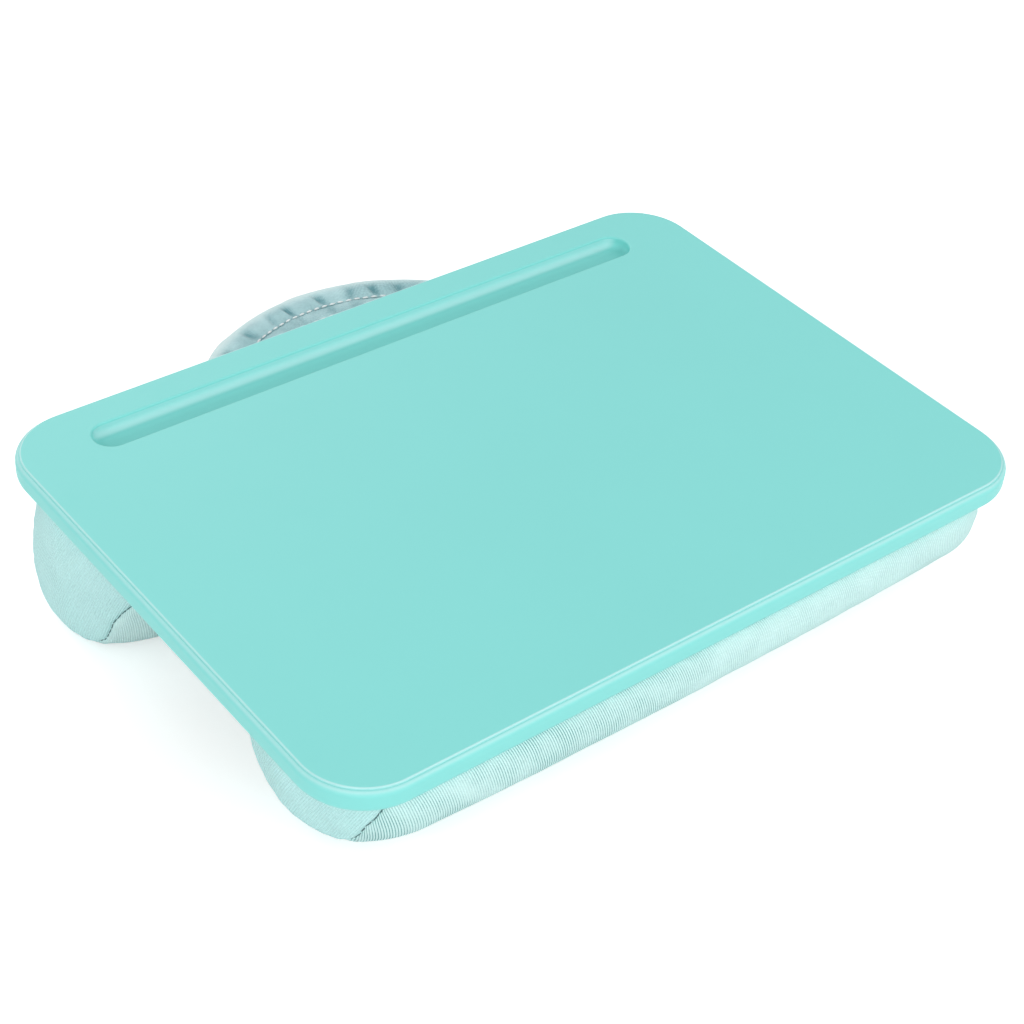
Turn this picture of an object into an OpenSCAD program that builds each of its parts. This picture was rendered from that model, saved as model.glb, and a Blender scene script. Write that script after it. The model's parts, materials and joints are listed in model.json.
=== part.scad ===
// Lap desk: a moulded top on a sewn cushion with two stuffed bolsters and a fabric handle.
// The desk frame has its origin at the middle of the top's upper face: X to the right, Y to the back.
// The row frame stands the desk on z = 0, tilted towards the user, with the origin under its middle.

/* [Desk top] */
// Length of the top from side to side
top_l = 366; // [330:1:400]
// Depth of the top from front to back
top_w = 262; // [245:1:290]
// Thickness of the top at its rim
top_t = 12; // [11.5:0.5:15]
// Radius of the top's corners seen from above
corner_r = 30; // [20:1:40]
// Wall of the top's upper skin
skin_t = 2.5; // [2:0.1:2.8]
// Wall of the rim round the hollow underside
rim_t = 5; // [4.5:0.1:6.5]
// Radius of the rim's lower edge
foot_r = 4; // [2:0.5:4.4]
// Inset of the fine step that runs round the upper edge
step_in = 2; // [1.5:0.1:3]
// Drop of that step
step_drop = 0.9; // [0.5:0.1:1.2]
// Height of the rounded shoulder below the step
shoulder_h = 2.7; // [1.5:0.1:3.2]
// Radius of the crest above the step
crest_r = 0.6; // [0.3:0.1:0.9]

/* [Pen groove] */
// Length of the pen groove at the upper face
groove_l = 297; // [200:1:310]
// Width of the pen groove between its walls
groove_w = 17.4; // [14:0.2:20]
// Depth of the pen groove
groove_d = 5.5; // [4.5:0.1:6]
// Distance from the back edge to the groove's centre line
groove_in = 26.2; // [24:0.2:32]
// Radius of the groove's lip
lip_r = 0.9; // [0.4:0.1:1.5]
// Radius between the groove's wall and floor
groove_fillet = 3; // [1:0.2:4]

/* [Ribs and bosses] */
// Thickness of the ribs under the skin
rib_t = 1.8; // [1.2:0.1:2.5]
// Depth of the ribs' lower edge below the upper face
rib_depth = 7.2; // [5:0.1:7.4]
// Largest spacing of the ribs
rib_pitch = 52; // [35:1:80]
// Radius of a screw boss
boss_r = 4; // [3.2:0.1:5]

/* [Backing panel and screws] */
// Thickness of the backing panel
panel_t = 3; // [2.6:0.1:3.2]
// Radius of a screw's shank
screw_r = 1.5; // [1.2:0.1:1.8]
// Radius of a screw's head
head_r = 2.9; // [2.5:0.1:3.4]
// Height of a screw's head
head_h = 1.6; // [1.2:0.1:1.8]
// Length of a screw below its head
screw_l = 6.2; // [5:0.1:6.6]
// Distance from the top's edges to the outer screws
screw_in = 34; // [30:1:45]

/* [Cover hem and staples] */
// Thickness of the cover's hem
hem_t = 0.8; // [0.5:0.1:0.9]
// Width of the hem turned in over the panel
hem_w = 14; // [10:0.5:18]
// Length of a staple's crown
staple_l = 10; // [8:0.5:12]
// Thickness of a staple's wire
wire_t = 0.5; // [0.4:0.05:0.6]
// Depth of a staple's legs in the panel
leg_d = 2; // [1.5:0.1:2.3]
// Distance from the top's edges to the staples
staple_in = 12; // [11:0.5:13]
// Largest spacing of the staples
staple_pitch = 62; // [40:1:90]

/* [Stand] */
// Height of the middle of the upper face above what the desk stands on
stand_h = 70; // [66:1:76]
// Tilt of the top towards the user, in degrees
tilt = 8; // [6:0.5:9]

/* [Front bolster] */
// Distance from the top's side to the bolster's rim
front_end_in = 10; // [8:0.5:30]
// Distance from the top's front edge to the bolster's widest line at its ends
front_edge_in = 0; // [0:0.5:8]
// Width of the bolster at its ends
front_w = 99.5; // [85:0.5:105]
// Bulge of the bolster's middle past its ends, on each side
front_crown = 3.3; // [0:0.1:4]
// Slope by which the bolster leans back as it goes down
front_lean = 0.13; // [0:0.01:0.3]
// Fullness of the bolster's round underside
front_full = 1.81; // [1.6:0.01:2.6]
// Radius that rounds the ends seen from above
front_plan_r = 33.5; // [25:0.5:38]
// Radius that rounds the ends from below
front_end_r = 17.5; // [8:0.5:20]
// Distance from the bolster's rim in to the seam of its end panel
front_seam_in = 11; // [5:0.5:20]

/* [Rear bolster] */
// Distance from the top's side to the bolster's rim
rear_end_in = 5; // [4:0.5:25]
// Distance from the top's back edge to the bolster's widest line at its ends
rear_edge_in = 9.5; // [7:0.5:16]
// Width of the bolster at its ends
rear_w = 98; // [85:1:105]
// Bulge of the bolster's middle past its ends, on each side
rear_crown = 1.5; // [0:0.1:3]
// Slope by which the bolster leans back as it goes down
rear_lean = 0.32; // [0:0.01:0.36]
// Fullness of the bolster's round underside
rear_full = 2.59; // [1.8:0.01:3]
// Radius that rounds the ends seen from above
rear_plan_r = 31.5; // [22:0.5:36]
// Radius that rounds the ends from below
rear_end_r = 10.5; // [8:0.5:16]
// Distance from the bolster's rim in to the seam of its end panel
rear_seam_in = 7; // [4:0.5:16]

/* [Bolster cloth] */
// Thickness of the covers with their lining
cover_t = 2.5; // [2:0.1:4]
// How far the sewn edge is drawn in from the widest line
tuck = 7; // [3:0.5:10]
// Share of a bolster's depth at which it is widest
swell = 0.28; // [0.2:0.01:0.4]
// Depth to which the filling settles flat on what it stands on
settle = 0.5; // [0.3:0.1:1]
// Dome of an end panel past its rim
dome = 3; // [1:0.5:6]
// Thickness of the cloth across the valley
valley_t = 1; // [0.6:0.1:1.6]

/* [Handle] */
// Outer radius of the handle's arc seen from above
handle_r = 100; // [92:1:110]
// Reach of the handle behind the top's back edge
handle_reach = 43.5; // [38:0.5:50]
// Width of the handle's strap
strap_w = 26; // [22:0.5:28]
// Thickness of the handle's strap
strap_t = 5; // [4.4:0.1:6]
// Depth of the strap's middle below the upper face
strap_drop = 20; // [18:0.5:24]
// Width of the webbing inside the strap
webbing_w = 20; // [16:0.5:20]
// Thickness of the webbing
webbing_t = 1.6; // [1.2:0.1:2]
// Distance from the top's back edge out to the line on which the handle swings
swing_out = 1.5; // [1:0.1:3]

/* [Clearances] */
// Clearance between moving or loose pieces
gap = 0.3; // [0.2:0.05:0.5]
// Clearance of fitted pieces on each side
fit = 0.2; // [0.1:0.05:0.25]
// Clearance of a screw or a staple's leg on each side
bite = 0.05; // [0.02:0.01:0.1]

/* [Hidden] */
$fn = 64;

plastic_teal = [0.55, 0.88, 0.86];
cloth_teal = [0.76, 0.93, 0.91];
board_brown = [0.62, 0.5, 0.36];
steel = [0.75, 0.76, 0.78];
filling_white = [0.95, 0.95, 0.93];

// Levels below the upper face, in the desk frame
panel_top = panel_t - top_t;
hem_top = panel_top + hem_t;
cover_top = -top_t - gap;
groove_y = top_w / 2 - groove_in;
eps = 0.01;

// Backing panel, set inside the rim with the hem turned round its edge
hem_in = rim_t + fit;
panel_in = hem_in + hem_t + fit;
pocket_h = head_h + fit;

// Screws, as places in the desk frame
screw_x = top_l / 2 - screw_in;
screw_front_y = -top_w / 2 + screw_in;
screw_back_y = groove_y - groove_w / 2 - skin_t - boss_r - rib_t;
screw_middle_y = (screw_front_y + screw_back_y) / 2;
screw_places = concat(
    [for (x = [-1, -1 / 3, 1 / 3, 1], y = [screw_front_y, screw_back_y]) [x * screw_x, y]],
    [for (x = [-1, 1]) [x * screw_x, screw_middle_y]]);

// Handle, as an arc about a centre on the desk's middle line
handle_centre_y = top_w / 2 + handle_reach - handle_r;
handle_mid_r = handle_r - strap_w / 2;
swing_y = top_w / 2 + swing_out;
strap_z = -strap_drop;

// Row frame: the middle of the outline stands over the origin
front_reach = top_w / 2 * cos(tilt) - (step_drop + shoulder_h) * sin(tilt);
back_reach = (top_w / 2 + handle_reach) * cos(tilt) + strap_drop * sin(tilt);
desk_y = (front_reach - back_reach) / 2;

function to_row(p) = [
    p.x,
    desk_y + p.y * cos(tilt) - p.z * sin(tilt),
    stand_h + p.y * sin(tilt) + p.z * cos(tilt)];

module on_desk() {
    translate([0, desk_y, stand_h]) rotate([tilt, 0, 0]) children();
}

// Evenly spread places from -reach to reach, no further apart than pitch
function spread(reach, pitch) =
    let (n = max(1, ceil(2 * reach / pitch)))
    [for (i = [0:n]) -reach + 2 * reach * i / n];

// Points of a circular or elliptical arc
function arc(cx, cy, rx, ry, from, to, n) =
    [for (i = [0:n]) let (a = from + (to - from) * i / n) [cx + rx * cos(a), cy + ry * sin(a)]];

// Half of the top's edge profile, from its middle out to a half width
function edge_half(half) = concat(
    [[0, 0]],
    arc(half - step_in - crest_r, -crest_r, crest_r, crest_r, 90, 0, 4),
    arc(half - step_in, -step_drop - shoulder_h, step_in, shoulder_h, 90, 0, 8),
    arc(half - foot_r, -top_t + foot_r, foot_r, foot_r, 0, -90, 8),
    [[0, -top_t]]);

function both_sides(half_profile) = concat(
    half_profile,
    [for (i = [len(half_profile) - 2:-1:1]) [-half_profile[i].x, half_profile[i].y]]);

// Half of the pen groove's profile, with a rounded lip and a filleted floor
function groove_half() =
    let (wall = groove_w / 2)
    concat(
        [[0, 1], [wall + lip_r, 1]],
        arc(wall + lip_r, -lip_r, lip_r, lip_r, 90, 180, 5),
        arc(wall - groove_fillet, -groove_d + groove_fillet, groove_fillet, groove_fillet, 0, -90, 6),
        [[0, -groove_d]]);

// A bar along X and a bar along Y with a profile of points (across, up)
module bar_x(length, profile) {
    rotate([90, 0, 90]) linear_extrude(height = length, center = true) polygon(profile);
}

module bar_y(length, profile) {
    rotate([90, 0, 0]) linear_extrude(height = length, center = true) polygon(profile);
}

module at_corners(l, w, r) {
    for (x = [-1, 1], y = [-1, 1]) translate([x * (l / 2 - r), y * (w / 2 - r), 0]) children();
}

// Outline with round corners, seen from above
module round_outline(l, w, r) {
    square([l - 2 * r, w], center = true);
    square([l, w - 2 * r], center = true);
    at_corners(l, w, r) circle(r);
}

// Plate with the outline of the top drawn in by an inset
module inset_plate(inset, low, high) {
    translate([0, 0, low])
        linear_extrude(height = high - low)
            round_outline(top_l - 2 * inset, top_w - 2 * inset, corner_r - inset);
}

module slab() {
    at_corners(top_l, top_w, corner_r) rotate_extrude($fn = 128) polygon(edge_half(corner_r));
    bar_x(top_l - 2 * corner_r, both_sides(edge_half(top_w / 2)));
    bar_y(top_w - 2 * corner_r, both_sides(edge_half(top_l / 2)));
}

// A slot along X with round ends, cut or filled from its half profile
module along_groove(half_profile) {
    straight = groove_l / 2 - groove_w / 2 - lip_r;
    translate([0, groove_y, 0]) {
        bar_x(2 * straight, both_sides(half_profile));
        for (x = [-1, 1]) translate([x * straight, 0, 0]) rotate_extrude() polygon(half_profile);
    }
}

module trough() {
    outer = groove_w / 2 + skin_t;
    top = -skin_t / 2;
    bottom = -groove_d - skin_t;
    along_groove([[0, top], [outer, top], [outer, bottom + skin_t], [outer - skin_t, bottom], [0, bottom]]);
}

module ribs() {
    inner_l = top_l - rim_t;
    inner_w = top_w - rim_t;
    height = rib_depth - skin_t / 2;
    for (x = spread(top_l / 2 - corner_r, rib_pitch))
        translate([x, 0, -rib_depth + height / 2]) cube([rib_t, inner_w, height], center = true);
    for (y = spread(top_w / 2 - corner_r, rib_pitch))
        translate([0, y, -rib_depth + height / 2]) cube([inner_l, rib_t, height], center = true);
}

module bosses() {
    for (p = screw_places)
        translate([p.x, p.y, panel_top]) cylinder(r = boss_r, h = -panel_top - skin_t / 2);
}

// Hollow moulded top with its pen groove, ribs and screw bosses
module desk_top() {
    color(plastic_teal)
    on_desk()
    difference() {
        union() {
            difference() {
                slab();
                inset_plate(rim_t, -top_t - 1, -skin_t);
            }
            trough();
            ribs();
            bosses();
        }
        along_groove(groove_half());
        for (p = screw_places)
            translate([p.x, p.y, panel_top - eps])
                cylinder(r = screw_r + bite, h = screw_l + gap);
    }
}

// Flat board that closes the top's underside and carries the cushion
module backing_panel() {
    color(board_brown)
    on_desk()
    difference() {
        inset_plate(panel_in, -top_t, panel_top);
        for (p = screw_places) translate([p.x, p.y, 0]) {
            translate([0, 0, -top_t - eps]) cylinder(r = head_r + fit, h = pocket_h + eps);
            translate([0, 0, -top_t - eps]) cylinder(r = screw_r + fit, h = panel_t + 2 * eps);
        }
        staple_legs(bite);
    }
}

module screw() {
    slot = head_r * 0.9;
    difference() {
        union() {
            cylinder(r = head_r, h = head_h);
            translate([0, 0, head_h]) cylinder(r = screw_r, h = screw_l);
        }
        for (turn = [0, 90]) rotate([0, 0, turn])
            translate([0, 0, head_h / 4 - eps]) cube([slot, slot / 4, head_h / 2], center = true);
    }
}

// Screws from below, with their heads sunk in the panel
module panel_screws() {
    color(steel)
    on_desk()
    for (p = screw_places) translate([p.x, p.y, -top_t + pocket_h - head_h]) screw();
}

// Places of the staples: a point and the turn of the crown
staple_places = concat(
    [for (x = spread(top_l / 2 - corner_r - staple_l, staple_pitch), s = [-1, 1])
        [x, s * (top_w / 2 - staple_in), 0]],
    [for (y = spread(top_w / 2 - corner_r - staple_l, staple_pitch), s = [-1, 1])
        [s * (top_l / 2 - staple_in), y, 90]]);

module at_staples() {
    for (s = staple_places) translate([s[0], s[1], 0]) rotate([0, 0, s[2]]) children();
}

module staple_legs(clear) {
    low = panel_top - leg_d - clear;
    high = hem_top + clear;
    at_staples()
        for (side = [-1, 1])
            translate([side * (staple_l - wire_t) / 2, 0, (low + high) / 2])
                cube([wire_t + 2 * clear, wire_t + 2 * clear, high - low], center = true);
}

// Hem of the cushion cover, turned round the panel's edge and over its upper face
module cover_hem() {
    color(cloth_teal)
    on_desk()
    difference() {
        inset_plate(hem_in, -top_t, hem_top);
        inset_plate(panel_in - fit, -top_t - 1, panel_top);
        inset_plate(panel_in + hem_w, panel_top - 1, hem_top + 1);
        staple_legs(bite);
    }
}

// Staples through the hem into the panel
module hem_staples() {
    color(steel)
    on_desk() {
        staple_legs(0);
        at_staples()
            translate([0, 0, hem_top + wire_t / 2]) cube([staple_l, wire_t, wire_t], center = true);
    }
}

// Bolsters: values in the order that the functions below read them
front_bolster = [
    -top_w / 2 + front_edge_in + front_w / 2, front_w / 2, top_l / 2 - front_end_in,
    front_crown, front_lean, front_full, front_plan_r, front_end_r, front_seam_in];
rear_bolster = [
    top_w / 2 - rear_edge_in - rear_w / 2, rear_w / 2, top_l / 2 - rear_end_in,
    rear_crown, rear_lean, rear_full, rear_plan_r, rear_end_r, rear_seam_in];

function mid_y(b) = b[0];
function half_w(b) = b[1];
function half_l(b) = b[2];
function crown(b) = b[3];
function lean(b) = b[4];
function full(b) = b[5];
function plan_r(b) = b[6];
function end_r(b) = b[7];
function seam_x(b) = half_l(b) - b[8];

// How far the round underside hangs below its middle line once the desk is tilted
function hang(b, down) =
    let (across = (half_w(b) + crown(b)) * sin(tilt), q = full(b) / (full(b) - 1))
    pow(pow(across, q) + pow(down, q), 1 / q) - down;

// Depth of a bolster below the panel, from the height of the desk and the settled flat
function depth(b) =
    let (
        fall = cos(tilt) - lean(b) * sin(tilt),
        line = stand_h + mid_y(b) * sin(tilt) + cover_top * cos(tilt))
    (line - hang(b, (1 - swell) * line) + settle) / fall;

// How much a round of radius r draws the section in at a place x along a bolster
function draw_in(b, r, x, inset) =
    let (t = max(0, min(1, (abs(x) - half_l(b) + r) / (r - inset))))
    (r - inset) * (1 - sqrt(1 - t * t));

function power(v, e) = sign(v) * pow(abs(v), e);

// Steps round a section: on each drawn-in side, and round the underside
side_steps = 4;
under_steps = 26;

// Half width of a bolster's drawn-in side at a depth below its sewn edge
function side_w(b, wide, down) =
    let (v = 1 - down / (swell * depth(b)))
    wide - tuck * (1 - sqrt(1 - v * v));

// Across and down, from the front sewn edge round the underside to the rear one
function section(b, x, inset) =
    let (
        bulge = crown(b) * (1 - pow(min(1, abs(x) / half_l(b)), 2)),
        wide = half_w(b) + bulge - draw_in(b, plan_r(b), x, inset) - inset,
        upper = swell * depth(b),
        lower = depth(b) - upper - draw_in(b, end_r(b), x, inset) - inset,
        side = [for (i = [0:side_steps - 1])
            let (down = inset + (upper - inset) * i / side_steps)
            [side_w(b, wide, down), down]],
        under = [for (i = [0:under_steps])
            let (a = 180 * i / under_steps)
            [-wide * power(cos(a), 2 / full(b)), upper + lower * pow(sin(a), 2 / full(b))]])
    concat(
        [for (p = side) [-p.x, p.y]],
        under,
        [for (i = [len(side) - 1:-1:0]) side[i]]);

// One ring of points in the row frame, flat where it would go below the floor
function ring(b, x, inset) =
    [for (p = section(b, x, inset))
        let (q = to_row([x, mid_y(b) + p.x + lean(b) * p.y, cover_top - p.y]))
        [q.x, q.y, max(q.z, inset)]];

// Places along a bolster between its seams: few on the straight, closer where it rounds
function tube_places(b, inset, straight_steps, round_steps) =
    let (
        start = half_l(b) - plan_r(b),
        r = plan_r(b) - inset,
        turn = asin((seam_x(b) - start) / r),
        right = concat(
            [for (i = [1:straight_steps]) start * i / straight_steps],
            [for (i = [1:round_steps]) start + r * sin(turn * i / round_steps)]))
    concat([for (i = [len(right) - 1:-1:0]) -right[i]], [0], right);

// Rings of the right end from its seam to its rim, then in over the dome
function dome_rings(b, inset, rim_steps, dome_steps) =
    let (
        start = half_l(b) - plan_r(b),
        r = plan_r(b) - inset,
        seam = asin((seam_x(b) - start) / r),
        rim = [for (i = [0:rim_steps])
            ring(b, start + r * sin(seam + (90 - seam) * i / rim_steps), inset)],
        edge = rim[rim_steps],
        c = centre(edge))
    concat(rim, [for (i = [1:dome_steps - 1])
        let (share = 1 - i / dome_steps)
        [for (p = edge)
            [p.x + dome * (1 - share * share), c.y + (p.y - c.y) * share, c.z + (p.z - c.z) * share]]]);

function dome_tip(b, inset) =
    centre(ring(b, half_l(b) - inset, inset)) + [dome, 0, 0];

function centre(points) =
    [for (axis = [0:2])
        let (values = [for (p = points) p[axis]])
        (min(values) + max(values)) / 2];

function reverse(list) = [for (i = [len(list) - 1:-1:0]) list[i]];

function flat(rows) = [for (row = rows, p = row) p];

function mirror_x(p) = [-p.x, p.y, p.z];

// Triangles between each ring and the next, and round to the first where they close
function ring_faces(rows, cols, closed) =
    [for (i = [0:rows - (closed ? 1 : 2)], j = [0:cols - 1], half = [0, 1])
        let (
            k = (j + 1) % cols,
            a = i * cols,
            c = ((i + 1) % rows) * cols)
        half == 0 ? [a + j, c + j, c + k] : [a + j, c + k, a + k]];

// A closed skin over rings, with a point before the first and one after the last
module skin(rows, first_tip, last_tip) {
    cols = len(rows[0]);
    n = len(rows) * cols;
    polyhedron(
        concat(flat(rows), [first_tip, last_tip]),
        concat(
            ring_faces(len(rows), cols, false),
            [for (j = [0:cols - 1]) [j, (j + 1) % cols, n]],
            [for (j = [0:cols - 1]) [n - cols + j, n + 1, n - cols + (j + 1) % cols]]),
        convexity = 6);
}

// Long panel of a bolster: a sewn tube round the pillow, open at its two seams
module bolster_cover(b) {
    outer = [for (x = tube_places(b, 0, 3, 5)) ring(b, x, 0)];
    inner = [for (x = tube_places(b, cover_t, 1, 2)) ring(b, x, cover_t)];
    rows = concat(outer, reverse(inner));
    polyhedron(flat(rows), ring_faces(len(rows), len(rows[0]), true), convexity = 6);
}

// Domed end panel on the right, a shell from its seam out over the pillow
module bolster_end(b) {
    skin(
        concat(reverse(dome_rings(b, cover_t, 2, 2)), dome_rings(b, 0, 4, 3)),
        dome_tip(b, cover_t),
        dome_tip(b, 0));
}

// Stuffed inner pillow, which fills the tube and both end panels
module bolster_pillow(b) {
    inset = cover_t + 2 * gap;
    right = dome_rings(b, inset, 2, 2);
    beyond = [for (i = [1:len(right) - 1]) right[i]];
    left = [for (row = reverse(beyond)) [for (p = row) mirror_x(p)]];
    tube = [for (x = tube_places(b, inset, 1, 2)) ring(b, x, inset)];
    skin(
        concat(left, tube, beyond),
        mirror_x(dome_tip(b, inset)),
        dome_tip(b, inset));
}

module front_bolster_cover() {
    color(cloth_teal) bolster_cover(front_bolster);
}

module front_right_end() {
    color(cloth_teal) bolster_end(front_bolster);
}

module front_left_end() {
    color(cloth_teal) mirror([1, 0, 0]) bolster_end(front_bolster);
}

module front_pillow() {
    color(filling_white) bolster_pillow(front_bolster);
}

module rear_bolster_cover() {
    color(cloth_teal) bolster_cover(rear_bolster);
}

module rear_right_end() {
    color(cloth_teal) bolster_end(rear_bolster);
}

module rear_left_end() {
    color(cloth_teal) mirror([1, 0, 0]) bolster_end(rear_bolster);
}

module rear_pillow() {
    color(filling_white) bolster_pillow(rear_bolster);
}

// Flat cloth under the panel between the two bolsters
module valley_cloth() {
    front_side = mid_y(front_bolster) + middle_side(front_bolster, valley_t) + gap;
    rear_side = mid_y(rear_bolster) - middle_side(rear_bolster, valley_t) - gap;
    half = seam_x(front_bolster);
    color(cloth_teal)
    on_desk()
    translate([-half, front_side, cover_top - valley_t])
        cube([2 * half, rear_side - front_side, valley_t]);
}

// Half width of a bolster's middle at a depth below its sewn edge
function middle_side(b, down) = side_w(b, half_w(b) + crown(b), down);

// Ring of the handle's flat section about its own centre, in the desk frame
module handle_ring(width, thick, rounded) {
    side = rounded ? width - thick : width;
    translate([0, handle_centre_y, strap_z])
        rotate_extrude($fn = 180)
            translate([handle_mid_r, 0]) {
                square([side, thick], center = true);
                if (rounded)
                    for (s = [-1, 1]) translate([s * side / 2, 0]) circle(d = thick, $fn = 32);
            }
}

// The half of space behind a line across the desk
module behind(y) {
    translate([-handle_r * 2, y, -handle_r]) cube([handle_r * 4, handle_r * 2, handle_r * 2]);
}

// Where the strap's inner and outer edges cross the line on which it swings
swing_inner_x = sqrt(pow(handle_r - strap_w, 2) - pow(swing_y - handle_centre_y, 2));
swing_outer_x = sqrt(pow(handle_r, 2) - pow(swing_y - handle_centre_y, 2));

// Sewn fabric strap, with a round nose at each root and a pocket for the webbing
module handle_strap() {
    nose = strap_t / 2;
    color(cloth_teal)
    on_desk()
    difference() {
        union() {
            intersection() {
                handle_ring(strap_w, strap_t, true);
                behind(swing_y);
            }
            for (side = [-1, 1])
                translate([side * (swing_inner_x + swing_outer_x) / 2, swing_y, strap_z])
                    rotate([0, 90, 0])
                        cylinder(r = nose, h = swing_outer_x - swing_inner_x - 2 * nose, center = true);
        }
        intersection() {
            handle_ring(webbing_w + 2 * fit, webbing_t + 2 * fit, false);
            behind(swing_y + strap_t);
        }
    }
}

// Flat webbing sealed in the strap
module handle_webbing() {
    color(filling_white)
    on_desk()
    intersection() {
        handle_ring(webbing_w, webbing_t, false);
        behind(swing_y + strap_t + fit);
    }
}

// The rear cover's back face at the strap's level: its place and its slope
tab_down = cover_top - strap_z;
tab_face_y = mid_y(rear_bolster) + middle_side(rear_bolster, tab_down) + lean(rear_bolster) * tab_down + gap;
tab_slope = lean(rear_bolster)
    + middle_side(rear_bolster, tab_down + 0.5) - middle_side(rear_bolster, tab_down - 0.5);

// Sewn end of the strap, on the back of the rear cover
module handle_tab(side) {
    back_y = swing_y - strap_t / 2 - gap;
    rise = tab_slope * strap_t;
    color(cloth_teal)
    on_desk()
    intersection() {
        handle_ring(strap_w, strap_t, true);
        translate([side * handle_r, 0, strap_z])
            bar_x(2 * handle_r, [
                [tab_face_y - rise, strap_t], [back_y, strap_t],
                [back_y, -strap_t], [tab_face_y + rise, -strap_t]]);
    }
}

module handle_left_tab() {
    handle_tab(-1);
}

module handle_right_tab() {
    handle_tab(1);
}

desk_top();
backing_panel();
panel_screws();
cover_hem();
hem_staples();
valley_cloth();
front_bolster_cover();
front_left_end();
front_right_end();
front_pillow();
rear_bolster_cover();
rear_left_end();
rear_right_end();
rear_pillow();
handle_strap();
handle_webbing();
handle_left_tab();
handle_right_tab();
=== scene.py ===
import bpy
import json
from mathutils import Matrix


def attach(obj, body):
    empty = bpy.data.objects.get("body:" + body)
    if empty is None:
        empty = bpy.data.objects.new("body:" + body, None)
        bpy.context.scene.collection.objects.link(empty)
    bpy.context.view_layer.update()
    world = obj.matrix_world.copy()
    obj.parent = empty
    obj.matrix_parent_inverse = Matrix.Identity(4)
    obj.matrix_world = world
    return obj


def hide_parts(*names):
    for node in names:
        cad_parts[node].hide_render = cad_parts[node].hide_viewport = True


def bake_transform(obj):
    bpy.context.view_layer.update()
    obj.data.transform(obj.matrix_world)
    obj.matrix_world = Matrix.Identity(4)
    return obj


bl_info = {
    "name": "Cushioned Lap Desk",
    "version": (1, 0, 0),
    "blender": (4, 5, 0),
    "location": "View3D > Sidebar > Lap Desk",
    "description": "Dresses a lap desk with its moulded top, stuffed bolsters, fabric handle and sewn seams",
    "category": "Object",
}

import json
import math

import bmesh
import bpy
import numpy as np
from bpy.props import FloatProperty, FloatVectorProperty, IntProperty, PointerProperty
from mathutils import Matrix, Vector

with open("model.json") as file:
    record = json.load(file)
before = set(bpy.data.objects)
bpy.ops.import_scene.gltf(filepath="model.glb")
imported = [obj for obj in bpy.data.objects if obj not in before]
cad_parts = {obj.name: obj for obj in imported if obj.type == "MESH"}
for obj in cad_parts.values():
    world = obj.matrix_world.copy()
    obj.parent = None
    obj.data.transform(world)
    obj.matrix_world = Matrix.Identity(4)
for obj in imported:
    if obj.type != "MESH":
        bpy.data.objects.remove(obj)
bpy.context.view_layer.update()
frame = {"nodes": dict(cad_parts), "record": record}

MM = 0.001
QUARTER = math.pi / 2
ROOT = "desk"

# The desk frame has its origin at the middle of the upper face, X to the right and Y to the back.
SURFACE = next(m for m in frame["record"]["mounts"] if m["name"] == "desk_surface")
TILT = math.atan2(-SURFACE["axis"][1], SURFACE["axis"][2])
DESK = Matrix.Translation(SURFACE["pos_m"]) @ Matrix.Rotation(TILT, 4, "X")
DESK_TURN = np.array(DESK.to_3x3())
DESK_ORIGIN = np.array(DESK.translation)


def on_desk(points):
    """Points given in the desk frame, in the row frame."""
    return np.asarray(points, float) @ DESK_TURN.T + DESK_ORIGIN


def desk_box(node):
    """The lowest and the highest corner of a CAD node, in the desk frame."""
    points = np.array([v.co for v in frame["nodes"][node].data.vertices])
    points = (points - DESK_ORIGIN) @ DESK_TURN
    return points.min(axis=0), points.max(axis=0)


def length(name, description, millimetres):
    """A property for a length, whose default is given in millimetres."""
    return FloatProperty(name=name, description=description, default=millimetres * MM, unit="LENGTH")


def ratio(name, description, value):
    """A property for a plain number."""
    return FloatProperty(name=name, description=description, default=value)


def colour(name, description, value):
    """A property for a colour, whose default is given as it is seen on screen, from 0 to 255."""
    shares = (c / 255 for c in value)
    linear = tuple(c / 12.92 if c <= 0.04045 else ((c + 0.055) / 1.055) ** 2.4 for c in shares)
    return FloatVectorProperty(
        name=name, description=description, default=linear, subtype="COLOR", min=0, max=1)


BOLSTER_SIZES = (
    ("middle", length, "Middle", "How far the bolster lies behind the desk's middle"),
    ("half_width", length, "Half Width", "Half of the bolster's width at its ends"),
    ("rim", length, "Rim", "Distance from the desk's middle to the rim of an end"),
    ("seam_in", length, "Seam", "Distance from the rim in to the seam of the end panel"),
    ("crown", length, "Crown", "Bulge of the bolster's middle past its ends"),
    ("lean", ratio, "Lean", "Slope by which it leans back"),
    ("full", ratio, "Fullness", "Fullness of the round underside"),
    ("plan_round", length, "Plan Round", "Radius that rounds the ends from above"),
    ("end_round", length, "End Round", "Radius that rounds the ends from below"),
    ("drift", length, "Drift", "How far a seam runs inwards at the sewn edge"),
    ("drift_depth", length, "Drift Depth", "Length of seam over which it runs inwards"),
    ("slant", ratio, "Slant", "Slope of the ribs of the cloth"),
    ("ribs", ratio, "Ribs", "How strongly the ribs of the cloth show"))


def bolster_properties(*defaults):
    """The properties of one bolster, with its own defaults in the order of the table."""
    return {key: kind(name, description, value)
            for (key, kind, name, description), value in zip(BOLSTER_SIZES, defaults)}


class TopSizes(bpy.types.PropertyGroup):
    """Sizes of the moulded top that its finish follows."""

    length: length("Length", "Length of the top along its front edge", 366)
    depth: length("Depth", "Depth of the top from front to back", 262)
    corner: length("Corner", "Radius of the top's corners", 30)
    crest: length("Crest", "Distance from the outline in to the crest of the edge", 2.3)
    shoulder: length("Shoulder", "Distance from the outline in to the highest part of the shoulder", 1.1)
    groove: length("Groove", "Distance of the pen groove behind the desk's middle", 104.8)


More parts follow.
